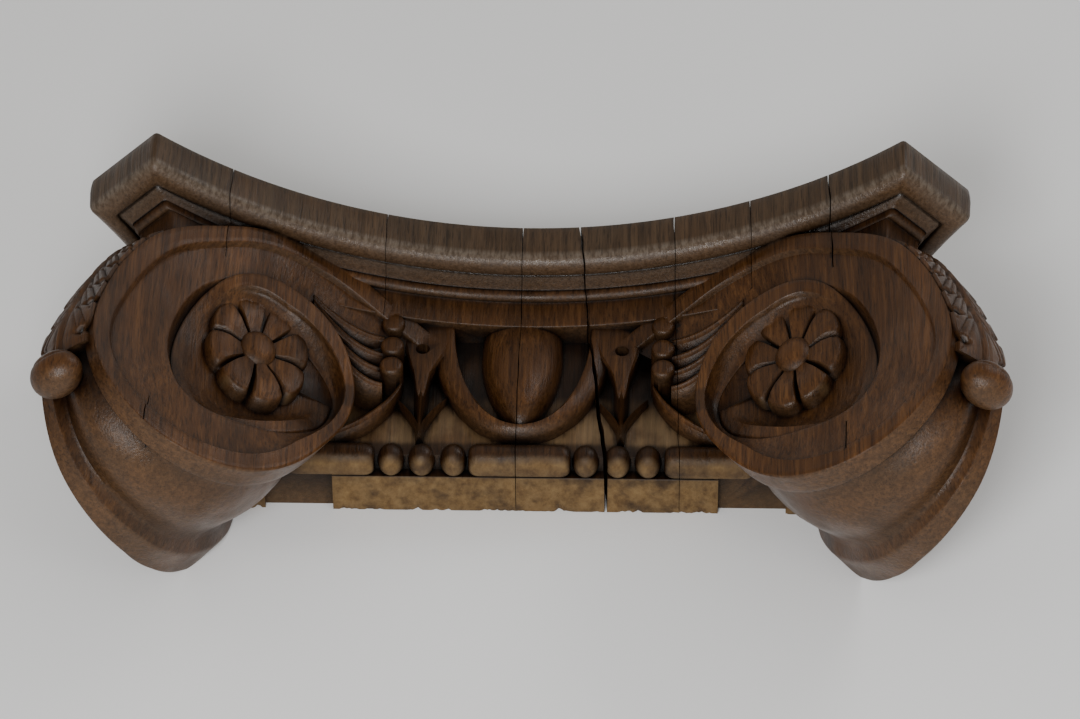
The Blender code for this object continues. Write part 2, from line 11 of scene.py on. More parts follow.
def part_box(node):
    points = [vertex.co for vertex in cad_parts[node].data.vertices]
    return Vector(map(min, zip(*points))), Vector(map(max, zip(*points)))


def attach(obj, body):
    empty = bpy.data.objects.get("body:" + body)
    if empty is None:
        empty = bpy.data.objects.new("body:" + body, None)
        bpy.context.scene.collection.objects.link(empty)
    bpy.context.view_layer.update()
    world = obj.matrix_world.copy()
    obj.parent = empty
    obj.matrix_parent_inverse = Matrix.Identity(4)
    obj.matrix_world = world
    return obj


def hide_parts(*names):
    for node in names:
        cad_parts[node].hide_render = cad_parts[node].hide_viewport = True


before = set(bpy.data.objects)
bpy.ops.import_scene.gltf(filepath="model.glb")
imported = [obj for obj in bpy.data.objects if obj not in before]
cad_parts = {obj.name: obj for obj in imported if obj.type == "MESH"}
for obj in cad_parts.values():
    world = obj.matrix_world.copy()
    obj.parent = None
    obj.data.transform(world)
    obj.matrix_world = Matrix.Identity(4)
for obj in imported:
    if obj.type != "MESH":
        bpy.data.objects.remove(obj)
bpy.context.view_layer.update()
LOW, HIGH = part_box("ionic_capital")
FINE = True
random.seed(7)

# Sizes in metres, upright: X to the right, Y back from the front points, Z up from the slab's top
SLAB_HALF = 0.2646  # half the width between the front points
SLAB_CHAMFER = 0.049  # cut of each corner, along X and Y
SLAB_HOLLOW = 0.09  # how far the middle lies behind the ends
SLAB_DROP = 0.064  # height with all mouldings
SLAB_INSET = 0.0375  # how far the mouldings step back under it
SLAB_CORNER_FADE = 0.35  # share of it lost at the corners
SLAB_CORNER_BACK = 0.7  # share by which the corners step back
SLAB_ARRIS = 0.0022  # rounding of the corners' edges
DEPTH = 0.19  # from the front points to the flat back
BACK_SPARE = 0.006  # how far shapes run past the back before it is cut

# Block below the slab
WALL_Y = 0.1435  # front of the block
BED_Z = -0.187  # its sawn underside
BED_HALF = 0.217  # half its width
BED_STEP_Y = 0.156  # front edge of the sawn underside
NOTCH_WIDE = 0.048  # the two notches in the underside
NOTCH_HIGH = 0.006
NOTCH_X = 0.16
WALL_ROUGH = 0.0018  # unevenness of the block's front
CHIP_DEEP = 0.0045  # largest chips on the rear edge

# Scrolls
EYE_X = 0.1897  # middle of the rosette
EYE_Z = -0.1600
FACE_BACK = 0.0105  # the scroll's face, behind the slab's edge
RIM_WIDE = 0.016  # flat strip along the spiral
RIM_STEP = 0.0052  # from the strip down to the channel
GAP = 0.001  # between the channel and the next turn
START_ANGLE = -57.0  # from straight up, toward the corner
END_ANGLE = 615.0
TURN_STEPS = 150  # rows in one turn
QUICK_STEPS = 60
# Radius of the rim's outer edge, by angle from straight up
RIM_RADII = (
    (-90, 0.178), (-57, 0.156), (-45, 0.1465), (-25, 0.1395), (-8, 0.128),
    (20, 0.112), (45, 0.108), (70, 0.1085), (90, 0.116), (122, 0.141),
    (153, 0.145), (180, 0.133), (222, 0.093), (264, 0.0765), (308, 0.0735),
    (330, 0.0745), (360, 0.075), (390, 0.065), (420, 0.06), (450, 0.062),
    (480, 0.0715), (510, 0.085), (540, 0.079), (560, 0.074), (600, 0.064),
    (618, 0.06), (650, 0.048), (690, 0.036), (960, 0.03),
)
# How far the rim stands forward of the scroll's face
RIM_LIFTS = (
    (-90, -0.05), (-57, -0.034), (-45, -0.0275), (-25, -0.017), (-8, -0.004),
    (20, 0.0), (90, 0.0), (122, 0.006), (150, 0.017), (180, 0.017),
    (205, 0.012), (230, 0.003), (264, -0.003), (308, 0.001), (356, 0.001),
    (380, -0.004), (400, -0.012), (420, -0.018), (440, -0.021),
    (470, -0.019), (500, -0.011), (520, -0.005), (540, -0.001),
    (560, -0.002), (575, -0.007), (590, -0.015), (600, -0.018),
    (615, -0.02), (960, -0.0225),
)
# How deep the channel lies behind the rim at its inner side
HOLLOWS = (
    (-90, 0.014), (-45, 0.014), (-20, 0.012), (0, 0.007), (30, 0.007),
    (90, 0.008), (150, 0.01), (180, 0.0105), (200, 0.014), (250, 0.018),
    (300, 0.015), (356, 0.015), (400, 0.01), (420, 0.0045),
    (440, 0.0018), (470, 0.0038), (500, 0.0118), (520, 0.0178), (540, 0.0215),
    (560, 0.0208), (575, 0.0158), (590, 0.0078), (600, 0.0042), (615, 0.001),
    (960, 0.001),
)
# How much further out the rim runs on the outer face, near the back
SIDE_SWELL = (
    (-90, 0.0), (180, 0.0), (195, 0.005), (210, 0.013), (222, 0.018),
    (240, 0.02), (264, 0.015), (300, 0.0), (960, 0.0),
)
BAND_EDGE = 0.17  # share of the band taken by each flat edge
BAND_GROOVE = 0.008
BAND_ROLL = 0.002

# Rosettes in the eyes
ROSE_Z = -0.1465  # middle of the rosette under the top
ROSE_BACK = 0.02  # its base, behind the scroll's face
ROSE_WIDE = 0.0385
ROSE_HIGH = 0.0505
ROSE_RISE = 0.012
ROSE_BUTTON = 0.0135
PETALS = 8

# Leaf on the outer edge of the band
LEAF_SHARE = 0.46  # half its width, as a share of the band
LEAF_THICK = 0.0045
LEAF_ANGLES = (40.0, 118.0)
LEAF_NOTCHES = tuple((n + 1.0) / 6.4 for n in range(6))
LEAF_RUN = 0.34  # how far each flute runs before its notch
KNOB_RADIUS = 0.0163  # its curled tip
KNOB_ANGLE = 124.0
KNOB_OUT = 0.0125

# Egg, shells and darts on the block
EGG_WIDE = 0.0288  # half its width
EGG_RISE = 0.0225
EGG_LOW = -0.159  # its lower tip
# Place from top to tip, with shares of its width and rise
EGG_SHAPE = (
    (0.0, 0.98, 0.66), (0.18, 1.0, 0.82), (0.38, 0.99, 0.95), (0.56, 0.88, 1.0),
    (0.72, 0.7, 0.93), (0.85, 0.48, 0.78), (0.94, 0.27, 0.55), (1.0, 0.08, 0.25),
)
SHELL_OUT = 0.0655
SHELL_IN = 0.0485
SHELL_LOW = -0.167
SHELL_THIN = 0.007  # width of the strip at its lowest point
SHELL_Z = -0.062
SHELL_RISE = 0.0155
DART_X = 0.071
DART_RISE = 0.014
HUSK_X = 0.0963
HUSK_Y = 0.12
HUSK_HEIGHTS = (-0.07, -0.093, -0.113)
HUSK_RADIUS = 0.0085

# Row of beads under them
BEAD_Y = 0.1485
BEAD_Z = -0.177
BEAD_X = (0.0465, 0.069, 0.0905)
BEAD_WIDE = 0.0097
BEAD_HIGH = 0.0115
REEL_HALF = 0.036
SIDE_REEL_IN = 0.102
SIDE_REEL_OUT = 0.165

# Dowel holes in the tongues above the darts
HOLE_RADIUS = 0.005
HOLE_X = 0.071
HOLE_Z = -0.087
HOLE_DEEP = 0.012
DART_TOP = -0.074  # start of the ridge, behind the tongue

# Open joint, and shading of recesses
CRACK_X = 0.0355  # open joint, at the slab's top
CRACK_SLOPE = -0.116
FAR_REACH = 0.045  # reach of the shading rays
NEAR_REACH = 0.0075
POCKET_SIZE = 2000  # closed pockets have fewer points

CARVING_SHIFT = -0.004  # the egg and its row sit a little left of the middle
SINK = 0.006  # how far applied carving reaches into what carries it

# Camera, with the capital upright; its reference point and shift in photo pixels
PITCH = math.radians(45.17)
YAW = math.radians(-1.72)
ROLL = math.radians(1.87)
PHOTO_WIDE = 1080.0
FOCAL_PIXELS = 5848.8
PIXEL = 0.0007  # metres for one photo pixel at the capital
REFERENCE = (16.5, 120.0, -207.2)
SHIFT_PIXELS = (2.0, 4.5)
SENSOR = 36.0  # millimetres

# Lights: name, place, size and power
LIGHTS = (
    ("key", (-0.35, -2.05, 1.75), 0.8, 56), ("fill", (1.5, -1.6, 1.5), 1.0, 8),
    ("back", (1.5, 1.2, 1.5), 0.9, 9),
)
LIGHT_TARGET = (0, 0, 0.1)
WORLD_COLOUR = (1.0, 0.98, 0.94)
WORLD_STRENGTH = 0.42

# Profile of the slab's edge: inset and height
MOULDING = (
    (0.0015, 0.0), (0.0004, -0.0004), (0.0, -0.0014), (-0.0005, -0.007), (-0.0006, -0.013),
    (-0.0003, -0.019), (0.0, -0.0255), (0.00015, -0.0272), (0.0006, -0.0289),
    (0.0013, -0.0305), (0.0023, -0.0319), (0.0036, -0.0332), (0.005, -0.0342),
    (0.0066, -0.0349), (0.0083, -0.0353), (0.01, -0.0355), (0.012, -0.0354),
    (0.0137, -0.0351), (0.0148, -0.0345), (0.0152, -0.0336), (0.0154, -0.0326),
    (0.016, -0.0324), (0.0168, -0.033), (0.0173, -0.034), (0.02, -0.035),
    (0.0235, -0.0361), (0.0262, -0.0369), (0.0267, -0.0372), (0.027, -0.0368),
    (0.0273, -0.0363), (0.0277, -0.0365), (0.0279, -0.0374), (0.028, -0.0386),
    (0.0285, -0.0402), (0.0295, -0.0416), (0.031, -0.0426), (0.0326, -0.0429),
    (0.0338, -0.0426), (0.0344, -0.0424), (0.0348, -0.043), (0.035, -0.044),
    (0.0353, -0.048), (0.0358, -0.053), (0.0364, -0.058), (0.0368, -0.062),
    (0.0371, -0.0636), (0.0375, -0.064), (0.0385, -0.0641),
)


def curve_at(table, x):
    """Smooth curve through the table."""
    xs = np.array([row[0] for row in table])
    ys = np.array([row[1] for row in table])
    slopes = np.gradient(ys, xs)
    i = int(np.clip(np.searchsorted(xs, x) - 1, 0, len(xs) - 2))
    span = xs[i + 1] - xs[i]
    t = (x - xs[i]) / span
    a = 2 * t ** 3 - 3 * t ** 2 + 1
    b = t ** 3 - 2 * t ** 2 + t
    c = -2 * t ** 3 + 3 * t ** 2
    d = t ** 3 - t ** 2
    return float(a * ys[i] + b * span * slopes[i] + c * ys[i + 1] + d * span * slopes[i + 1])


def smooth(a, b, x):
    """Soft step from 0 at a to 1 at b."""
    t = min(max((x - a) / (b - a), 0.0), 1.0)
    return t * t * (3 - 2 * t)


def hump(x, wide):
    return math.exp(-(x / wide) ** 2)


def uneven(x, y, z):
    return noise.noise(Vector((x, y, z)))


def arc_radius():
    return (SLAB_HALF ** 2 + SLAB_HOLLOW ** 2) / (2 * SLAB_HOLLOW)


def front_y(x):
    """Where the slab's hollow front runs."""
    radius = arc_radius()
    return SLAB_HOLLOW - radius + math.sqrt(max(radius ** 2 - x * x, 0.0))


def to_side(x, y):
    """Mirror image of a point in the upright plane through a corner."""
    mid_x = SLAB_HALF + SLAB_CHAMFER / 2
    mid_y = SLAB_CHAMFER / 2
    return mid_x - (y - mid_y), mid_y - (x - mid_x)


def make_object(name, verts, faces):
    mesh = bpy.data.meshes.new(name)
    mesh.from_pydata([tuple(v) for v in verts], [], faces)
    bm = bmesh.new()
    bm.from_mesh(mesh)
    bmesh.ops.remove_doubles(bm, verts=bm.verts, dist=1e-6)
    bmesh.ops.recalc_face_normals(bm, faces=bm.faces)
    if bm.calc_volume(signed=True) < 0:
        bmesh.ops.reverse_faces(bm, faces=bm.faces)
    bm.to_mesh(mesh)
    bm.free()
    obj = bpy.data.objects.new(name, mesh)
    bpy.context.collection.objects.link(obj)
    return obj


def loft(name, rings):
    """Closed form through rings with equal numbers of points."""
    count = len(rings[0])
    verts = [p for ring in rings for p in ring]
    faces = []
    for r in range(len(rings) - 1):
        for i in range(count):
            j = (i + 1) % count
            faces.append((r * count + i, r * count + j, (r + 1) * count + j, (r + 1) * count + i))
    faces.append(tuple(range(count))[::-1])
    last = (len(rings) - 1) * count
    faces.append(tuple(last + i for i in range(count)))
    return make_object(name, verts, faces)


def ellipsoid(name, centre, radii, around=40, rows=24, axes=None, dent=None):
    verts = [(0.0, 0.0, 1.0)]
    for r in range(1, rows):
        phi = math.pi * r / rows
        for i in range(around):
            a = 2 * math.pi * i / around
            verts.append((math.sin(phi) * math.cos(a), math.sin(phi) * math.sin(a), math.cos(phi)))
    verts.append((0.0, 0.0, -1.0))
    faces = []
    for i in range(around):
        j = (i + 1) % around
        faces.append((0, 1 + i, 1 + j))
        for r in range(rows - 2):
            a = 1 + r * around
            faces.append((a + i, a + around + i, a + around + j, a + j))
        a = 1 + (rows - 2) * around
        faces.append((a + i, len(verts) - 1, a + j))
    pts = np.array(verts)
    if dent is not None:
        pts = pts * dent(pts)[:, None]
    pts = pts * np.array(radii)
    if axes is None:
        axes = np.eye(3)
    pts = pts @ np.array(axes) + np.array(centre)
    return make_object(name, pts, faces)


def circle(radius, count):
    turns = [2 * math.pi * i / count for i in range(count)]
    return [(radius * math.cos(a), radius * math.sin(a)) for a in turns]


def box(name, low, high):
    (x0, y0, z0), (x1, y1, z1) = low, high
    ring = [(x0, y0), (x1, y0), (x1, y1), (x0, y1)]
    return loft(name, [[(x, y, z0) for x, y in ring], [(x, y, z1) for x, y in ring]])


# Slab


def slab_edge(share, inset):
    """A point of the slab's hollow front, moved back under it by inset.

    The deep mouldings step back less at the corners, so that the cut corners stay open.
    """
    x = share * (SLAB_HALF - SLAB_CORNER_BACK * inset)
    near = smooth(0.55, 1.0, abs(share))
    fade = SLAB_CORNER_FADE * smooth(0.35, 1.0, inset / SLAB_INSET)
    move = inset * (1.0 - fade * near)
    lean = math.asin(x / arc_radius())
    return x + move * math.sin(lean), front_y(x) + move * math.cos(lean)


def rounded(a, corner, b, reach):
    """Three points that round off a corner of an outline."""
    p = Vector(corner)
    one = (Vector(a) - p).normalized()
    two = (Vector(b) - p).normalized()
    return [tuple(p + one * reach), tuple(p + (one + two) * reach * 0.3), tuple(p + two * reach)]


def slab_outline(inset, z):
    """One ring of the slab, with its hollow front and sides and its cut corners."""
    count = 150 if FINE else 60
    front = [slab_edge(s, inset) for s in np.linspace(-1.0, 1.0, count)]
    side = [to_side(*slab_edge(s, inset)) for s in np.linspace(1.0, 0.1, 60)]
    ys = np.array([p[1] for p in side])
    xs = np.array([p[0] for p in side])
    rows = [(float(np.interp(y, ys, xs)), float(y)) for y in np.linspace(ys[0], DEPTH + 0.004, 30)]
    chamfer = []
    a, b = front[-1], rows[0]
    for t in np.linspace(0.0, 1.0, 14)[1:-1]:
        chamfer.append((a[0] + (b[0] - a[0]) * t, a[1] + (b[1] - a[1]) * t))
    turn = rounded(front[-2], a, chamfer[0], SLAB_ARRIS)
    back = rounded(chamfer[-1], b, rows[1], SLAB_ARRIS)
    half = turn + chamfer + back + rows[1:]
    right = front[1:-1] + half
    left = [(-x, y) for x, y in half[::-1]]
    return [(x, y, z) for x, y in right + left]


def make_slab():
    return loft("slab", [slab_outline(inset, z) for inset, z in MOULDING])


# Scrolls


def face_point(angle, radius, deep):
    """A point of the right scroll's front face; deep counts back from the rim."""
    a = math.radians(angle)
    along = radius * math.sin(a)
    arc = arc_radius()
    x = arc * math.sin(math.asin(EYE_X / arc) + along / arc)
    y = front_y(x) + FACE_BACK - curve_at(RIM_LIFTS, angle) + deep
    return x, y, EYE_Z + radius * math.cos(a)


def rim_row(angle, swell=0.0):
    """One row across the spiral: rounded strip, step, channel, next turn's foot."""
    outer = curve_at(RIM_RADII, angle)
    inner = min(curve_at(RIM_RADII, angle + 360.0) + 0.0008, outer - 0.012)
    outer = outer + swell
    fade = smooth(360.0, 400.0, angle)
    width = RIM_WIDE * (1 + 0.1 * smooth(200.0, 270.0, angle) - 0.5 * smooth(330.0, 400.0, angle))
    width = min(width, 0.45 * (outer - inner))
    deep = curve_at(HOLLOWS, angle)
    step = min(RIM_STEP, 0.72 * deep) * (1 - fade)
    bowl = 0.45 * smooth(210.0, 270.0, angle) + 0.55 * smooth(360.0, 420.0, angle)
    rows = [(outer, 0.0016), (outer - 0.0005, 0.0005), (outer - 0.0014, 0.0)]
    rows += [(outer - width * t, 0.0002 * (1 - fade)) for t in (0.3, 0.65)]
    rows += [(outer - width + 0.0012, 0.0), (outer - width + 0.0004, 0.15 * step)]
    rows.append((outer - width - 0.0002, 0.75 * step))
    start = outer - width - 0.0008
    rows.append((start, step))
    rest = start - inner - GAP
    count = 15
    for n in range(1, count + 1):
        q = n / count
        even = 0.35 * q + 0.65 * math.sin(0.5 * math.pi * q)
        curve = even * (1 - bowl) + (1 - (1 - q) ** 2.4) * bowl
        rows.append((start - rest * q, step + (deep - step) * curve))
    rows.append((inner + 0.0003, deep + 0.0004))
    rows.append((inner, deep + 0.0014))
    return [face_point(angle, r, d) for r, d in rows]


def band_depth(s):
    """How deep the outer band lies under its two edges; s runs across it."""
    e = BAND_EDGE
    table = (
        (0.0, 0.0014), (0.012, 0.0), (0.5 * e, 0.0002), (e - 0.012, 0.0), (e, 0.001),
        (e + 0.025, 0.0075), (e + 0.055, BAND_GROOVE + 0.001), (e + 0.1, BAND_GROOVE),
        (0.36, 0.0045), (0.43, BAND_ROLL + 0.0006), (0.5, BAND_ROLL),
    )
    s = min(s, 1.0 - s)
    return float(np.interp(s, [row[0] for row in table], [row[1] for row in table]))


def band_shares():
    e = BAND_EDGE
    half = [0.0, 0.012, 0.04, 0.5 * e, e - 0.04, e - 0.012, e, e + 0.025, e + 0.055, e + 0.1]
    half += [0.3, 0.33, 0.36, 0.395, 0.43, 0.465]
    return half + [0.5] + [1.0 - s for s in half[::-1]]


def make_scroll(sign):
    """Front and outer spiral of one corner, with the band between them."""
    turn = TURN_STEPS if FINE else QUICK_STEPS
    step = 360.0 / turn
    total = int(round((END_ANGLE - START_ANGLE) / step))
    angles = [START_ANGLE + i * step for i in range(total + 1)]
    rows = [rim_row(angle) for angle in angles]
    outer_rows = [rim_row(angle, float(np.interp(angle, *zip(*SIDE_SWELL)))) for angle in angles]
    wide = len(rows[0])
    last = wide - 1
    middle = face_point(END_ANGLE, 0.0, 0.0)
    verts = [p for row in rows for p in row] + [middle]
    outer_verts = [p for row in outer_rows for p in row] + [middle]
    size = len(verts)

    def at(i, j):
        return i * wide + j

    faces = []
    for i in range(total):
        for j in range(last):
            faces.append((at(i, j), at(i + 1, j), at(i + 1, j + 1), at(i, j + 1)))
        if i + turn < total:
            k = i + turn
            faces.append((at(i, last), at(i + 1, last), at(k + 1, 0), at(k, 0)))
    hole = [at(i, last) for i in range(total - turn, total + 1)]
    hole += [at(total, j) for j in range(last - 1, -1, -1)]
    for a, b in zip(hole, hole[1:] + hole[:1]):
        faces.append((a, b, size - 1))
    edge = [at(i, 0) for i in range(turn + 1)]
    edge += [at(0, j) for j in range(last, 0, -1)]
    front = np.array(verts)
    side = np.array([(*to_side(x, y), z) for x, y, z in outer_verts])
    points = list(front) + list(side)
    all_faces = faces + [tuple(size + i for i in face[::-1]) for face in faces]
    out = math.sqrt(0.5)
    loops = [edge]
    for s in band_shares()[1:-1]:
        loop = []
        for n, index in enumerate(edge):
            p = front[index] * (1 - s) + side[index] * s
            if 0 < n < turn:
                angle = math.radians(START_ANGLE + n * step)
                fade = smooth(0, 14, n) * smooth(0, 14, turn - n)
                deep = band_depth(s) * fade
                p = p - deep * np.array((
                    math.sin(angle) * out, -math.sin(angle) * out, math.cos(angle)))
            loop.append(len(points))
            points.append(p)
        loops.append(loop)
    loops.append([size + i for i in edge])
    count = len(edge)
    for a, b in zip(loops, loops[1:]):
        for i in range(count):
            j = (i + 1) % count
            all_faces.append((a[i], b[i], b[j], a[j]))
    points = np.array(points)
    points[:, 0] *= sign
    return make_object("scroll", points, all_faces)


def eye_frame(side_face):
    """Middle of the rosette's base, with its along and outward directions."""
    x = EYE_X
    y = front_y(x) + FACE_BACK + ROSE_BACK
    slope = -x / math.sqrt(arc_radius() ** 2 - x * x)
    along = np.array((1.0, slope, 0.0)) / math.hypot(1.0, slope)
    out = np.array((along[1], -along[0], 0.0))
    centre = np.array((x, y, ROSE_Z))
    if side_face:
        cx, cy = to_side(centre[0], centre[1])
        centre = np.array((cx, cy, ROSE_Z))
        along = np.array((-along[1], -along[0], 0.0))
        out = np.array((-out[1], -out[0], 0.0))
    return centre, along, out


def petal_height(q, t):
    """Height of a petal; q runs from the middle to the tip, t across from -1 to 1."""
    side = abs(t)
    across = 0.42 + 0.58 * smooth(1.0, 0.8, side) - 0.1 * side * side
    rise = 0.66 + 0.34 * smooth(0.28, 0.7, q)
    fall = 1.0 - 0.16 * smooth(0.8, 0.97, q)
    crease = 0.07 * hump(t, 0.14) * smooth(0.3, 0.55, q) * smooth(1.0, 0.85, q)
    return 0.04 + 0.96 * rise * fall * across * smooth(1.04, 0.955, q) - crease


def make_rosette(sign, side_face):
    """Petals around a button, in the eye of the front or the outer spiral."""
    base, along, out = eye_frame(side_face)
    up = np.array((0.0, 0.0, 1.0))
    flip = np.array((sign, 1.0, 1.0))
    axes = np.array((along, up, out)) * flip
    fine = FINE and not side_face
    spread = (0.0, 0.022, 0.045, 0.07, 0.11, 0.19, 0.32, 0.5)
    if not fine:
        spread = (0.0, 0.05, 0.12, 0.5)
    spread = spread + tuple(1 - t for t in spread[-2:0:-1])
    turns = [(n, t) for n in range(PETALS) for t in spread]
    count = len(turns)
    steps = list(np.linspace(0.2, 0.92, 14 if fine else 6)) + [0.95, 0.975, 1.0]
    verts = []
    random.seed(11 + int(sign) + 5 * int(side_face))
    reach = [1.0 + random.uniform(-0.03, 0.03) for _ in range(PETALS)]
    lift = [1.0 + random.uniform(-0.08, 0.06) for _ in range(PETALS)]
    for q in steps + [1.012]:
        for n, share in turns:
            t = 2.0 * share - 1.0
            a = 2 * math.pi * (n + share - 0.15) / PETALS
            tip = reach[n] * (1.0 - abs(t) ** 4) + 0.985 * abs(t) ** 4 - 0.095 * abs(t) ** 2.6
            low = 1.0 + 0.04 * max(-math.cos(a), 0.0)
            r = q * tip
            high = ROSE_RISE * 0.94 * lift[n] * petal_height(q, t) if q <= 1.0 else -0.006
            p = base + along * (math.sin(a) * r * ROSE_WIDE)
            p = p + up * (math.cos(a) * r * ROSE_HIGH * low) + out * high
            verts.append(p)
    verts.append(base + out * 0.002)
    verts.append(base - out * 0.006)
    faces = []
    for k in range(len(steps)):
        for i in range(count):
            j = (i + 1) % count
            a, b = k * count, (k + 1) * count
            faces.append((a + i, a + j, b + j, b + i))
    top, low = len(verts) - 2, len(verts) - 1
    last = len(steps) * count
    for i in range(count):
        j = (i + 1) % count
        faces.append((top, j, i))
        faces.append((low, last + i, last + j))
    rose = make_object("rosette", np.array(verts) * flip, faces)
    button = ellipsoid(
        "button", (base + out * ROSE_RISE * 0.5) * flip,
        (ROSE_BUTTON, ROSE_BUTTON * 1.18, ROSE_RISE * 0.62), 36, 20, axes)
    return [rose, button]


def band_point(angle, share, high):
    """Point over the band between the two spirals of a corner; share runs across it."""
    x, y, z = face_point(angle, curve_at(RIM_RADII, angle), 0.0)
    sx, sy = to_side(x, y)
    a = math.radians(angle)
    half = math.sqrt(0.5)
    normal = np.array((half * math.sin(a), -half * math.sin(a), math.cos(a)))
    p = np.array((x + (sx - x) * share, y + (sy - y) * share, z))
    return p + normal * high


def leaf_height(t, u):
    """Relief of the leaf; t runs from its root to its tip, u from edge to edge."""
    side = abs(u)
    high = LEAF_THICK * (1.0 - 0.55 * u * u) * (1.0 + 0.9 * smooth(0.6, 1.0, t))
    high += 0.0016 * hump(u, 0.07) - 0.0012 * hump(side - 0.15, 0.05)
    for place in LEAF_NOTCHES:
        begin = place - LEAF_RUN
        flutes = ((begin, place + 0.02, 0.0019, 0.05, 0.2),
                  (begin + 0.075, place + 0.06, 0.001, 0.035, 0.3))
        for start, stop, deep, wide, soft in flutes:
            if start < t < stop:
                q = min(max((t - start) / LEAF_RUN, 0.0), 1.0)
                high -= deep * hump(side - q ** 1.3, wide) * smooth(0.0, soft, q)
        near = hump(t - place, 0.016)
        high -= 0.0055 * near * hump(side - 0.84, 0.1)
    return high


def make_leaf(sign):
    """Leaf that runs down the band from under the slab to its curled tip."""
    rings = []
    rows = 130 if FINE else 40
    cols = 46 if FINE else 20
    for r in range(rows + 1):
        t = r / rows
        angle = LEAF_ANGLES[0] + t * (LEAF_ANGLES[1] - LEAF_ANGLES[0])
        notch = sum(hump(t - place, 0.014) for place in LEAF_NOTCHES)
        half = LEAF_SHARE * (1.04 - 0.16 * notch)
        half *= 0.8 + 0.2 * smooth(0.0, 0.3, t) - 0.15 * smooth(0.85, 1.0, t)
        ring = []
        for c in range(cols + 1):
            u = 2.0 * c / cols - 1.0
            ring.append(band_point(angle, 0.5 + u * half, leaf_height(t, u)))
        for u in (1.0, 0.5, 0.0, -0.5, -1.0):
            ring.append(band_point(angle, 0.5 + u * half * 0.97, -0.012))
        rings.append([(sign * q[0], q[1], q[2]) for q in ring])
    return loft("leaf", rings)


def make_knob(sign):
    """The leaf's curled tip, with the fold where it rolls over."""
    out = np.array((math.sqrt(0.5), -math.sqrt(0.5), 0.0))
    across = np.array((math.sqrt(0.5), math.sqrt(0.5), 0.0))
    up = np.array((0.0, 0.0, 1.0))
    flip = np.array((sign, 1.0, 1.0))
    centre = band_point(KNOB_ANGLE, 0.5, KNOB_OUT)

    def dent(pts):
        fold = np.exp(-((pts[:, 2] - 0.1 - 0.55 * pts[:, 1] ** 2) / 0.06) ** 2)
        rib = np.exp(-((pts[:, 1] + 0.12) / 0.05) ** 2) * (pts[:, 2] > 0.1)
        return 1.0 - 0.055 * fold - 0.03 * rib

    return ellipsoid(
        "knob", centre * flip, (KNOB_RADIUS, KNOB_RADIUS * 1.22, KNOB_RADIUS * 0.95), 56, 36,
        np.array((out, across, up)) * flip, dent)


# Block and its carving


def wall_ring(points):
    """Ring of points, each with its rise over the block's front, closed behind that front."""
    (x0, _, z0), (x1, _, z1) = points[0], points[-1]
    ring = [(x, WALL_Y - rise, z) for x, rise, z in points]
    return [(x0, WALL_Y + SINK, z0)] + ring + [(x1, WALL_Y + SINK, z1)]


def make_block():
    """Block behind the egg; its sawn underside has a ragged rear edge."""
    top = -0.03
    count = 240 if FINE else 60
    rings = []
    for n in range(count + 1):
        x = -BED_HALF + 2 * BED_HALF * n / count
        ring = [(x, WALL_Y, top)]
        for k in range(1, 20):
            z = top + (BEAD_Z - top) * k / 20
            y = WALL_Y + WALL_ROUGH * uneven(x * 75, z * 50, 3.0)
            ring.append((x, y, z))
        chip = uneven(x * 60, 2.0, 0.0)
        chip = chip + 0.8 * uneven(x * 230, 4.0, 0.0)
        chip = max(chip, 0.0) * CHIP_DEEP + 0.0006
        rough = 0.0004 * uneven(x * 150, 8.0, 0.0)
        ring += [
            (x, WALL_Y, BEAD_Z), (x, BED_STEP_Y, BEAD_Z - 0.002),
            (x, BED_STEP_Y, BED_Z + 0.0006), (x, BED_STEP_Y + 0.0006, BED_Z),
            (x, 0.166, BED_Z + rough), (x, 0.176, BED_Z - rough),
            (x, DEPTH - 0.005 - chip, BED_Z), (x, DEPTH + 0.0002, BED_Z + chip),
            (x, DEPTH + BACK_SPARE, BED_Z + chip + 0.002), (x, DEPTH + BACK_SPARE, top),
        ]
        rings.append(ring)
    return loft("block", rings)


def half_ring(centre_x, steps):
    """Curved strip of the shell that hangs around the egg, on the block's front."""
    rings = []
    tall_out = SHELL_Z - SHELL_LOW
    tall_in = tall_out - SHELL_THIN
    section = ((0.0, 0.4), (0.03, 0.55), (0.1, 0.66), (0.35, 0.84), (0.65, 0.97), (0.85, 1.0),
               (0.96, 0.94), (1.0, 0.8))
    for n in range(steps + 1):
        a = math.pi * (1.0 + n / steps)
        xo = centre_x + SHELL_OUT * math.cos(a)
        zo = SHELL_Z + tall_out * math.sin(a)
        xi = centre_x + SHELL_IN * math.cos(a)
        zi = SHELL_Z + tall_in * math.sin(a)
        rise = SHELL_RISE * (1.0 + 0.03 * uneven(xo * 60, zo * 60, 0.0))
        ring = [(xo + (xi - xo) * t, rise * h, zo + (zi - zo) * t) for t, h in section]
        rings.append(wall_ring(ring))
    return loft("shell", rings)


def make_egg():
    """Egg, cut off flat where it meets the slab's underside."""
    top = -SLAB_DROP + 0.006
    wide_at = [(place, wide) for place, wide, rise in EGG_SHAPE]
    rise_at = [(place, rise) for place, wide, rise in EGG_SHAPE]
    rings = []
    rows = 48
    around = 44
    for k in range(rows + 1):
        t = k / rows
        z = top + (EGG_LOW - top) * t
        wide = EGG_WIDE * curve_at(wide_at, min(t + 1e-6, 1.0))
        rise = EGG_RISE * curve_at(rise_at, min(t + 1e-6, 1.0))
        ring = []
        for i in range(around + 1):
            a = math.pi * i / around
            y = WALL_Y - rise * math.sin(a) ** 0.9
            ring.append((CARVING_SHIFT + wide * math.cos(a), y, z))
        ring.append((CARVING_SHIFT - wide, WALL_Y + SINK, z))
        ring.append((CARVING_SHIFT + wide, WALL_Y + SINK, z))
        rings.append(ring)
    return loft("egg", rings)


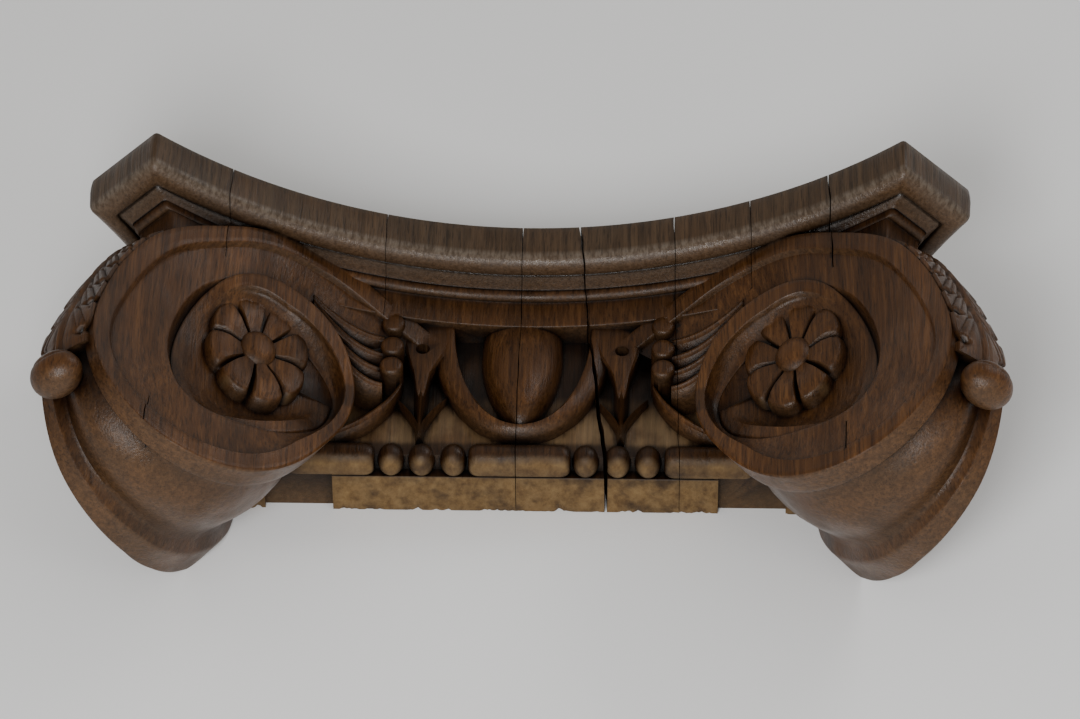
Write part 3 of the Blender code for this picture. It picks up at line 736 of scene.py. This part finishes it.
def make_dart(sign):
    """Arrow between the shells: a ridge with two barbs."""
    x = sign * DART_X + CARVING_SHIFT
    top, low = DART_TOP, BEAD_Z + 0.01
    parts = []
    rings = []
    for n in range(15):
        t = n / 14.0
        z = top + (low - top) * t
        wide = 0.0046 + 0.0018 * math.sin(math.pi * t) - 0.002 * t
        rise = DART_RISE * (0.55 + 0.45 * smooth(0.0, 0.3, t))
        rings.append(wall_ring([(x + wide * a, rise * b, z) for a, b in (
            (-1, 0.15), (-0.35, 0.75), (0, 1), (0.35, 0.75), (1, 0.15))]))
    parts.append(loft("dart", rings))
    for side in (-1, 1):
        rings = []
        for n in range(13):
            t = n / 12.0
            px = x + side * 0.019 * t ** 1.15
            pz = low + 0.004 + 0.037 * t ** 0.75
            half = 0.0056 * (1.0 - 0.8 * t) + 0.0006
            rise = DART_RISE * (0.8 - 0.35 * t)
            rings.append(wall_ring([
                (px, 0.4 * rise, pz - half), (px, rise, pz), (px, 0.4 * rise, pz + half)]))
        parts.append(loft("barb", rings))
    return parts


def make_plate(sign):
    """Flat tongue between the shells; it narrows into the dart below it."""
    rings = []
    middle = sign * DART_X + CARVING_SHIFT
    for z, inner, outer, rise in (
            (-SLAB_DROP + 0.004, 0.0205, 0.015, 0.015), (-0.08, 0.019, 0.0135, 0.0155),
            (-0.092, 0.015, 0.011, 0.0155), (-0.102, 0.0095, 0.008, 0.015),
            (-0.11, 0.006, 0.0058, 0.0147), (-0.118, 0.0046, 0.0046, 0.0144),
            (-0.126, 0.0034, 0.0034, 0.0135), (-0.13, 0.002, 0.002, 0.011)):
        low = middle - sign * inner
        high = middle + sign * outer
        ring = []
        for t in (0.0, 0.02, 0.06, 0.15, 0.5, 0.85, 0.94, 0.98, 1.0):
            soft = 0.0022 * (1 - smooth(0.0, 0.08, min(t, 1 - t)))
            ring.append((low + (high - low) * t, rise - soft, z))
        rings.append(wall_ring(ring))
    return loft("plate", rings)


def make_strip(name, start, bend, stop, half, rise, sign, steps=30):
    """Curved ridge over three points, with a fine groove along its back."""
    rings = []
    for k in range(steps + 1):
        t = k / steps
        x, y, z = [(1 - t) ** 2 * a + 2 * t * (1 - t) * b + t * t * c
                   for a, b, c in zip(start, bend, stop)]
        wide = half * (0.45 + 0.55 * math.sin(math.pi * (0.12 + 0.76 * t)))
        ring = [(sign * x, y + 0.03, z - wide)]
        for m in range(13):
            u = m / 6.0 - 1.0
            high = -0.4 + 0.8 * (1 - abs(u) ** 2.2) - 0.14 * hump(u + 0.25, 0.14)
            ring.append((sign * x, y - rise * high, z + wide * u))
        ring.append((sign * x, y + 0.03, z + wide))
        rings.append(ring)
    return loft(name, rings)


def make_disc(sign, x, y, z):
    rings = []
    for back, size in ((0.03, 1.0), (0.0015, 1.0), (-0.0008, 0.98), (-0.0022, 0.9),
                       (-0.0029, 0.74), (-0.0032, 0.4)):
        ring = circle(HUSK_RADIUS * size, 32)
        rings.append([(sign * (x + a), y + back, z + b) for a, b in ring])
    return loft("disc", rings)


def make_husk(sign):
    """Discs, leaf fingers behind them and the next shell's edge."""
    x, y = HUSK_X, HUSK_Y
    parts = [make_disc(sign, x, y, z) for z in HUSK_HEIGHTS]
    z = HUSK_HEIGHTS[0]
    for drop, far in ((0.012, 0.0), (0.028, 0.004), (0.043, 0.009), (0.058, 0.015)):
        parts.append(make_strip(
            "finger", (x + 0.006, y + 0.006, z - drop), (x + 0.03, y - 0.004, z - drop - 0.006),
            (x + 0.056, y - 0.02, z + 0.004 - far), 0.0072, 0.0095, sign))
    parts.append(make_strip(
        "next_shell", (0.089, WALL_Y - 0.01, -0.117), (0.099, WALL_Y - 0.01, -0.148),
        (0.134, WALL_Y - 0.008, -0.165), 0.007, 0.008, sign))
    return parts


def bead_row():
    """Beads and reels along the block's lower edge."""
    parts = []
    for sign in (-1, 1):
        for x in BEAD_X:
            parts.append(ellipsoid(
                "bead", (sign * x + CARVING_SHIFT, BEAD_Y, BEAD_Z),
                (BEAD_WIDE, BEAD_HIGH, BEAD_HIGH), 36, 24))
    spans = ((-REEL_HALF, REEL_HALF), (SIDE_REEL_IN, SIDE_REEL_OUT),
             (-SIDE_REEL_OUT, -SIDE_REEL_IN))
    for x0, x1 in spans:
        rings = []
        spots = (0.0, 0.006, 0.015, 0.03, 0.05, 0.08, 0.12, 0.3, 0.5)
        for t in spots + tuple(1 - v for v in spots[-2::-1]):
            end = min(t, 1.0 - t) * (x1 - x0) / 0.0075
            r = BEAD_HIGH * (0.55 + 0.45 * math.sqrt(1 - (1 - min(end, 1.0)) ** 2))
            x = x0 + (x1 - x0) * t + CARVING_SHIFT
            rings.append([(x, BEAD_Y + a, BEAD_Z + b) for a, b in circle(r, 36)])
        parts.append(loft("reel", rings))
    return parts


# Putting together, cracks and joints


def apply_boolean(base, other, operation):
    mod = base.modifiers.new("cut", "BOOLEAN")
    mod.operation = operation
    mod.solver = "MANIFOLD"
    mod.object = other
    depsgraph = bpy.context.evaluated_depsgraph_get()
    mesh = bpy.data.meshes.new_from_object(base.evaluated_get(depsgraph))
    base.modifiers.clear()
    base.data = mesh
    bpy.data.objects.remove(other, do_unlink=True)


def union(objects):
    base = objects[0]
    for other in objects[1:]:
        apply_boolean(base, other, "UNION")
    return base


def wobble_sheet(name, x_of, half_of, y0, y1, z0, z1, steps=40):
    """Thin upright wedge that follows a wandering line, to cut a joint or a crack."""
    rings = []
    for n in range(steps + 1):
        z = z0 + (z1 - z0) * n / steps
        x = x_of(z)
        half = half_of(z)
        rings.append([(x - half, y0, z), (x + half, y0, z), (x + half * 0.4, y1, z),
                      (x - half * 0.4, y1, z)])
    return loft(name, rings)


def crack_x(z):
    return CRACK_X + CRACK_SLOPE * z + 0.0016 * uneven(z * 55, 1.0, 0.0)


def crack_half(z):
    wide = 0.0011 + 0.0009 * smooth(-0.07, -0.15, z)
    return wide + 0.0006 * uneven(z * 90, 5.0, 0.0)


def joint_cutters():
    """Main open joint, the narrow joints between the staves, and two short cracks."""
    cuts = [wobble_sheet("crack", crack_x, crack_half, 0.1, DEPTH + 0.01, -0.2, -0.06, 70)]
    cuts.append(wobble_sheet(
        "crack_top", crack_x, lambda z: crack_half(z) * 0.8, 0.06, 0.128, -0.061, 0.01, 40))
    # place, slope, lower and upper end, front and back, width
    lines = (
        (-0.211, 0.03, -0.075, 0.01, -0.02, 0.12, 1.0),
        (-0.102, 0.02, -0.066, 0.01, 0.03, 0.13, 1.0),
        (-0.005, 0.01, -0.2, 0.01, 0.05, 0.186, 1.2),
        (0.103, -0.03, -0.2, 0.01, 0.03, 0.186, 1.0),
        (0.157, -0.03, -0.06, 0.01, 0.02, 0.12, 0.9),
        (0.212, -0.04, -0.08, 0.01, -0.02, 0.12, 1.4),
        (-0.245, 0.03, -0.284, -0.252, -0.06, 0.06, 1.3),
        (0.229, 0.03, -0.284, -0.25, -0.06, 0.06, 1.6),
    )
    for x0, slope, low, high, front, back, wide in lines:
        cuts.append(wobble_sheet(
            "joint", lambda z: x0 + slope * z + 0.0006 * uneven(z * 60, x0 * 90, 0.0),
            lambda z: wide * (0.00034 + 0.00022 * uneven(z * 80, x0 * 50, 9.0)),
            front, back, low, high, 50))
    return cuts


def cutters():
    """Everything behind the back, the notches and the dowel holes."""
    parts = [box("behind", (-1.0, DEPTH, -1.0), (1.0, DEPTH + 1.0, 1.0))]
    for sign in (-1, 1):
        x = sign * NOTCH_X
        parts.append(box(
            "notch", (x - NOTCH_WIDE / 2, BED_STEP_Y - 0.002, BED_Z - 0.01),
            (x + NOTCH_WIDE / 2, DEPTH + 0.01, BED_Z + NOTCH_HIGH)))
        x = sign * HOLE_X + CARVING_SHIFT
        ring = [(x + a, HOLE_Z + b) for a, b in circle(HOLE_RADIUS, 20)]
        parts.append(loft(
            "hole", [[(a, y, b) for a, b in ring] for y in (WALL_Y - 0.03, WALL_Y + HOLE_DEEP)]))
    return parts


def drop_pockets(obj):
    """Remove the closed pockets left between overlapping shapes."""
    bm = bmesh.new()
    bm.from_mesh(obj.data)
    bm.verts.ensure_lookup_table()
    seen = set()
    shells = []
    for start in bm.verts:
        if start.index in seen:
            continue
        seen.add(start.index)
        shell = [start]
        for vert in shell:
            for edge in vert.link_edges:
                other = edge.other_vert(vert)
                if other.index not in seen:
                    seen.add(other.index)
                    shell.append(other)
        shells.append(shell)
    shells.sort(key=len)
    for shell in shells[:-1]:
        if len(shell) < POCKET_SIZE:
            bmesh.ops.delete(bm, geom=shell, context="VERTS")
    bm.to_mesh(obj.data)
    bm.free()


def read(items, name, width, kind=float):
    """An array with one row for each item."""
    data = np.empty(len(items) * width, dtype=kind)
    items.foreach_get(name, data)
    return data.reshape(-1, width)


def lay_down(obj):
    """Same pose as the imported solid: on its flat back."""
    mesh = obj.data
    co = read(mesh.vertices, "co", 3)
    new = np.column_stack((co[:, 0], co[:, 2] + HIGH[1], DEPTH - co[:, 1]))
    mesh.vertices.foreach_set("co", new.ravel())
    mesh.update()


def shade_recesses(obj):
    """Store how open each point is to its surroundings, as colour, for painted shade in recesses.
    """
    mesh = obj.data
    bm = bmesh.new()
    bm.from_mesh(mesh)
    tree = BVHTree.FromBMesh(bm)
    bm.free()
    rays = []
    golden = math.pi * (3 - math.sqrt(5))
    count = 14 if FINE else 6
    for n in range(count):
        z = 1 - (n + 0.5) / count * 0.92
        r = math.sqrt(1 - z * z)
        rays.append((r * math.cos(golden * n), r * math.sin(golden * n), z))
    values = np.zeros(len(mesh.vertices))
    near = np.zeros(len(mesh.vertices))
    normals = read(mesh.vertices, "normal", 3)
    for index, vert in enumerate(mesh.vertices):
        normal = Vector(normals[index])
        side = normal.orthogonal().normalized()
        other = normal.cross(side)
        start = vert.co + normal * 0.0006
        for x, y, z in rays:
            hit = tree.ray_cast(start, side * x + other * y + normal * z, FAR_REACH)
            if hit[0] is None:
                values[index] += 1.0
                near[index] += 1.0
            else:
                values[index] += (hit[3] / FAR_REACH) ** 1.5 * 0.8
                near[index] += min(hit[3] / NEAR_REACH, 1.0)
    values /= count
    near /= count
    edges = read(mesh.edges, "vertices", 2, np.int64)
    for _ in range(2):
        total = values.copy()
        number = np.ones(len(values))
        for one, other in ((0, 1), (1, 0)):
            np.add.at(total, edges[:, one], values[edges[:, other]])
            np.add.at(number, edges[:, one], 1)
        values = total / number
    for name, data in (("open", values), ("near", near)):
        layer = mesh.color_attributes.new(name, "FLOAT_COLOR", "POINT")
        colours = np.column_stack((data, data, data, np.ones(len(data))))
        layer.data.foreach_set("color", colours.ravel())


# Materials


class Look:
    """A material, and short calls that add nodes to it."""

    def __init__(self, name):
        self.material = bpy.data.materials.new(name)
        self.material.use_nodes = True
        self.tree = self.material.node_tree
        self.shader = self.tree.nodes["Principled BSDF"]

    def feed(self, socket, value):
        """Link the socket to a node's output, or set it to a plain value."""
        if isinstance(value, bpy.types.NodeSocket):
            self.tree.links.new(value, socket)
        else:
            socket.default_value = value

    def node(self, kind, **values):
        item = self.tree.nodes.new(kind)
        for key, value in values.items():
            setattr(item, key, value)
        return item

    def mix(self, kind, share, a, b):
        item = self.node("ShaderNodeMix", data_type="RGBA", blend_type=kind)
        for index, value in ((0, share), (6, a), (7, b)):
            self.feed(item.inputs[index], value)
        return item.outputs[2]

    def ramp(self, source, *stops, stepped=False):
        """Colours over the source's value; a bare number stands for a grey."""
        item = self.node("ShaderNodeValToRGB")
        elements = item.color_ramp.elements
        while len(elements) < len(stops):
            elements.new(0.5)
        for element, (place, colour) in zip(elements, stops):
            if not isinstance(colour, tuple):
                colour = (colour, colour, colour)
            element.position = place
            element.color = (*colour, 1.0)
        if stepped:
            item.color_ramp.interpolation = "CONSTANT"
        self.feed(item.inputs[0], source)
        return item.outputs[0]

    def calc(self, kind, a, b=0.0):
        item = self.node("ShaderNodeMath", operation=kind)
        self.feed(item.inputs[0], a)
        self.feed(item.inputs[1], b)
        return item.outputs[0]

    def plus(self, a, b):
        return self.calc("ADD", a, b)

    def minus(self, a, b):
        return self.calc("SUBTRACT", a, b)

    def times(self, a, b):
        return self.calc("MULTIPLY", a, b)

    def split(self, vector):
        item = self.node("ShaderNodeSeparateXYZ")
        self.feed(item.inputs[0], vector)
        return item.outputs

    def stored(self, name):
        return self.node("ShaderNodeAttribute", attribute_name=name).outputs["Fac"]


class Oak(Look):
    """The oak's material, with what the layers of its colour share."""

    def __init__(self):
        super().__init__("oak")
        self.place = self.node("ShaderNodeTexCoord").outputs["Object"]
        self.x, self.y, self.z = self.split(self.place)
        # The grain runs along world Y, which is the capital's height
        self.streaks = self.grain((330, 9.0, 330), 5.0, 0.62)
        self.pores = self.grain((900, 42, 900), 3.0, 0.6)
        self.blotches = self.grain((38, 24, 38), 4.0, shift=(7, 2, 5))
        self.pore = self.ramp(self.pores, (0.36, 0.34), (0.47, 1.0))
        self.fine = self.ramp(self.streaks, (0.34, 0.62), (0.62, 1.18))
        normal = self.split(self.node("ShaderNodeNewGeometry").outputs["Normal"])
        self.under = self.ramp(self.times(normal[1], -1.0), (0.35, 0.0), (0.9, 1.0))
        self.facing = self.ramp(normal[2], (0.45, 0.0), (0.75, 1.0))

    def grain(self, scale, detail, rough=0.55, shift=(0, 0, 0)):
        """Noise that is finer along the axes where its scale is larger."""
        place = self.node("ShaderNodeMapping")
        place.inputs["Scale"].default_value = scale
        place.inputs["Location"].default_value = shift
        self.feed(place.inputs["Vector"], self.place)
        item = self.node("ShaderNodeTexNoise")
        self.feed(item.inputs["Vector"], place.outputs[0])
        item.inputs["Scale"].default_value = 1.0
        item.inputs["Detail"].default_value = detail
        item.inputs["Roughness"].default_value = rough
        return item.outputs["Fac"]


def bare_wood(oak):
    """Dark oiled oak; stave by stave, the boards differ a little."""
    colour = oak.ramp(
        oak.streaks, (0.3, (0.03, 0.0115, 0.003)), (0.5, (0.054, 0.022, 0.0062)),
        (0.7, (0.088, 0.039, 0.0125)))
    broad = oak.grain((30, 2.6, 30), 4.0)
    tone = oak.ramp(broad, (0.3, (0.6, 0.58, 0.56)), (0.68, (1.3, 1.26, 1.2)))
    colour = oak.mix("MULTIPLY", 1.0, colour, tone)
    colour = oak.mix("MULTIPLY", 0.75, colour, oak.pore)
    board = oak.ramp(
        oak.plus(oak.x, 0.5), (0.256, 0.92), (0.289, 1.1), (0.398, 0.88), (0.495, 1.04),
        (0.5405, 0.94), (0.603, 1.1), (0.657, 0.94), (0.712, 1.05), stepped=True)
    return oak.mix("MULTIPLY", 0.8, colour, board)


def polish_slab(oak, colour):
    """Greyer old polish on the slab's face, and a painted grey highlight in streaks on the roll
    under it.
    """
    slab = oak.ramp(oak.minus(oak.y, HIGH[1] - 0.038), (0.0, 0.0), (0.006, 1.0))
    old = oak.mix("MIX", oak.blotches, (0.03, 0.0175, 0.0088, 1), (0.064, 0.046, 0.029, 1))
    old = oak.mix("MULTIPLY", 0.7, old, oak.pore)
    old = oak.mix("MULTIPLY", 1.0, old, oak.fine)
    colour = oak.mix("MIX", oak.times(slab, 0.72), colour, old)
    # oak.roll marks the roll for a painted highlight in the colour here, and for lower roughness
    # in set_gloss
    roll = oak.ramp(
        oak.minus(oak.y, HIGH[1] - 0.04), (0.0, 0.0), (0.004, 0.2), (0.0075, 1.0),
        (0.011, 1.0), (0.015, 0.0))
    oak.roll = oak.times(roll, oak.ramp(oak.streaks, (0.42, 0.25), (0.6, 1.0)))
    # Painted highlight: the roll's streaks are mixed toward a light grey
    return oak.mix("MIX", oak.times(oak.roll, 0.75), colour, (0.125, 0.105, 0.086, 1))


def dust_and_lit_undersides(oak, colour):
    """Undersides are paler: painted light, with some rubbed polish and dust."""
    dust_and_light = oak.mix("MIX", oak.blotches, (0.088, 0.05, 0.024, 1), (0.045, 0.026, 0.014, 1))
    dust_and_light = oak.mix("MULTIPLY", 0.55, dust_and_light, oak.pore)
    dust_and_light = oak.mix("MULTIPLY", 0.8, dust_and_light, oak.fine)
    # Painted light: surfaces that face down in the capital are mixed paler, together with dust
    return oak.mix("MIX", oak.times(oak.under, 0.62), colour, dust_and_light)


def stain_and_shade_wall(oak, colour):
    """The block's front: pale bare ground between the darts, and painted shade, nearly black,
    under the slab.
    """
    drop = oak.minus(HIGH[1] - 0.118, oak.y)
    far = oak.minus(DEPTH - WALL_Y + 0.003, oak.z)
    wall = oak.times(oak.ramp(far, (0.0, 0.0), (0.0022, 1.0)), oak.facing)
    ground = oak.ramp(drop, (0.0, 0.0), (0.008, 1.0), (0.046, 1.0), (0.052, 0.0))
    ground = oak.times(oak.times(ground, wall), oak.ramp(oak.blotches, (0.36, 0.35), (0.55, 1.0)))
    ochre = oak.mix("MULTIPLY", 0.7, (0.21, 0.14, 0.072, 1), oak.fine)
    colour = oak.mix("MIX", oak.times(ground, 0.75), colour, ochre)
    # Painted shade: the block's front just under the slab is mixed toward near black
    dark = oak.times(oak.ramp(drop, (0.0, 1.0), (0.01, 0.0)), wall)
    return oak.mix("MIX", oak.times(dark, 0.85), colour, (0.01, 0.0055, 0.0032, 1))


def darken_beads(oak, colour):
    """Beads and reels are darker."""
    drop = oak.minus(HIGH[1] + BEAD_Z + BEAD_HIGH + 0.002, oak.y)
    beads = oak.ramp(
        drop, (0.0, 1.0), (0.0006, 0.5), (2 * BEAD_HIGH + 0.003, 0.5),
        (2 * BEAD_HIGH + 0.004, 1.0))
    middle = oak.ramp(oak.calc("ABSOLUTE", oak.x), (0.0, 1.0), (0.135, 1.0), (0.145, 0.0))
    return oak.mix("MULTIPLY", middle, colour, beads)


def bare_bed(oak, colour):
    """Raw sawn wood under the bed, with stains."""
    height = oak.minus(oak.y, HIGH[1] + BED_Z - 0.004)
    bed = oak.ramp(height, (0.0, 0.0), (0.0001, 1.0), (0.0075, 1.0), (0.0085, 0.0))
    inside = oak.ramp(
        oak.calc("ABSOLUTE", oak.x), (0.0, 1.0), (BED_HALF - 0.001, 1.0), (BED_HALF, 0.0))
    oak.bed = oak.times(oak.times(bed, oak.under), inside)
    raw = oak.ramp(
        oak.grain((150, 60, 120), 5.0, 0.65), (0.3, (0.07, 0.038, 0.014)),
        (0.5, (0.13, 0.078, 0.031)), (0.7, (0.18, 0.115, 0.05)))
    stain = oak.ramp(oak.blotches, (0.34, (0.22, 0.19, 0.17)), (0.47, 0.85), (0.7, 1.1))
    raw = oak.mix("MULTIPLY", 1.0, raw, stain)
    return oak.mix("MIX", oak.times(oak.bed, 0.92), colour, raw)


def darken_recesses(oak, colour):
    """Painted shade: recesses nearly black and fine crevices dark, open surfaces a little lighter.
    """
    ragged = oak.plus(oak.stored("open"), oak.times(oak.minus(oak.blotches, 0.5), 0.14))
    # Painted shade from the stored openness: closed places darken, open places lighten a little
    painted_recess_shade = oak.ramp(
        ragged, (0.2, (0.07, 0.055, 0.045)), (0.42, (0.32, 0.28, 0.25)),
        (0.62, (0.74, 0.72, 0.69)), (0.84, (1.02, 1.01, 1.0)), (0.97, (1.16, 1.13, 1.08)))
    colour = oak.mix("MULTIPLY", 1.0, colour, painted_recess_shade)
    # Painted shade in fine crevices, from the short rays
    lines = oak.ramp(oak.stored("near"), (0.55, (0.16, 0.13, 0.11)), (0.86, 1.0))
    return oak.mix("MULTIPLY", 0.9, colour, lines)


def set_gloss(oak):
    """Uneven polish, duller on the raw bed, with the grain's fine relief."""
    shader = oak.shader
    rough = oak.ramp(oak.blotches, (0.35, 0.3), (0.65, 0.5))
    rough = oak.plus(rough, oak.times(oak.bed, 0.35))
    rough = oak.minus(rough, oak.times(oak.roll, 0.16))
    oak.feed(shader.inputs["Roughness"], rough)
    shader.inputs["Specular IOR Level"].default_value = 0.27
    height = oak.plus(oak.pores, oak.times(oak.streaks, 1.2))
    height = oak.plus(height, oak.times(oak.blotches, 1.5))
    bump = oak.node("ShaderNodeBump")
    bump.inputs["Distance"].default_value = 0.0005
    bump.inputs["Strength"].default_value = 0.6
    oak.feed(bump.inputs["Height"], height)
    oak.feed(shader.inputs["Normal"], bump.outputs[0])


def oak_material():
    oak = Oak()
    colour = bare_wood(oak)
    for layer in (
            polish_slab, dust_and_lit_undersides, stain_and_shade_wall, darken_beads, bare_bed, darken_recesses):
        colour = layer(oak, colour)
    oak.feed(oak.shader.inputs["Base Color"], colour)
    set_gloss(oak)
    return oak.material


def floor_material():
    paper = Look("paper")
    paper.shader.inputs["Base Color"].default_value = (0.86, 0.86, 0.86, 1.0)
    paper.shader.inputs["Roughness"].default_value = 0.9
    return paper.material


def build():
    """All shapes of the capital, joined into one and then cut."""
    parts = [make_block(), make_slab()]
    small = [make_egg(), half_ring(CARVING_SHIFT, 80)]
    small += bead_row()
    for sign in (-1, 1):
        small += make_dart(sign)
        small.append(make_plate(sign))
        small += make_husk(sign)
    parts.append(union(small))
    for sign in (-1, 1):
        scroll = [make_scroll(sign)]
        for side_face in (False, True):
            scroll += make_rosette(sign, side_face)
        scroll += [make_leaf(sign), make_knob(sign)]
        parts.append(union(scroll))
    capital = union(parts)
    for cutter in cutters() + joint_cutters():
        apply_boolean(capital, cutter, "DIFFERENCE")
    drop_pockets(capital)
    capital.name = "carved_capital"
    capital.data.name = "carved_capital"
    return capital


capital = build()
lay_down(capital)
mesh = capital.data
mesh.shade_smooth()
mesh.set_sharp_from_angle(angle=math.radians(42))
shade_recesses(capital)
mesh.materials.clear()
mesh.materials.append(oak_material())
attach(capital, "root")
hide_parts("ionic_capital")
print("capital triangles", sum(len(p.vertices) - 2 for p in mesh.polygons))


# Floor, lights and camera


def add_floor():
    sheet = bpy.data.meshes.new("floor")
    size = 6.0
    sheet.from_pydata(
        [(-size, -size, 0), (size, -size, 0), (size, size, 0), (-size, size, 0)], [],
        [(0, 1, 2, 3)])
    obj = bpy.data.objects.new("floor", sheet)
    bpy.context.collection.objects.link(obj)
    obj.location = (0, 0, min(LOW[2], 0.0) - 0.0005)
    sheet.materials.append(floor_material())


def add_light(name, place, size, power):
    data = bpy.data.lights.new(name, "AREA")
    data.energy = power
    data.size = size
    obj = bpy.data.objects.new(name, data)
    bpy.context.collection.objects.link(obj)
    obj.location = place
    direction = Vector(LIGHT_TARGET) - Vector(place)
    obj.rotation_euler = direction.to_track_quat("-Z", "Y").to_euler()


def add_world():
    world = bpy.data.worlds.new("world")
    bpy.context.scene.world = world
    world.use_nodes = True
    background = world.node_tree.nodes["Background"]
    background.inputs[0].default_value = (*WORLD_COLOUR, 1)
    background.inputs[1].default_value = WORLD_STRENGTH


def laid(v):
    """A direction of the upright capital, as it points once the capital is laid down."""
    return np.array((v[0], v[2], -v[1]))


def add_camera():
    """The photo's camera, placed for the upright capital and laid down with it."""
    forward = np.array((math.sin(YAW) * math.cos(PITCH), math.cos(YAW) * math.cos(PITCH),
                        math.sin(PITCH)))
    level = np.array((math.cos(YAW), -math.sin(YAW), 0.0))
    steep = np.cross(level, forward)
    right = math.cos(ROLL) * level + math.sin(ROLL) * steep
    upward = -math.sin(ROLL) * level + math.cos(ROLL) * steep
    eye = np.array(REFERENCE) - forward * FOCAL_PIXELS - right * SHIFT_PIXELS[0]
    eye = (eye + upward * SHIFT_PIXELS[1]) * PIXEL
    data = bpy.data.cameras.new("camera")
    camera = bpy.data.objects.new("camera", data)
    bpy.context.collection.objects.link(camera)
    r, u, f = laid(right), laid(upward), laid(forward)
    camera.matrix_world = Matrix((
        (r[0], u[0], -f[0], 0), (r[1], u[1], -f[1], 0), (r[2], u[2], -f[2], 0), (0, 0, 0, 1)))
    camera.location = laid(eye) + np.array((0.0, HIGH[1], DEPTH))
    data.sensor_fit = "HORIZONTAL"
    data.sensor_width = SENSOR
    data.lens = FOCAL_PIXELS / PHOTO_WIDE * SENSOR
    data.clip_end = 50.0
    bpy.context.scene.camera = camera


add_floor()
for light in LIGHTS:
    add_light(*light)
add_world()
add_camera()

bpy.context.view_layer.update()
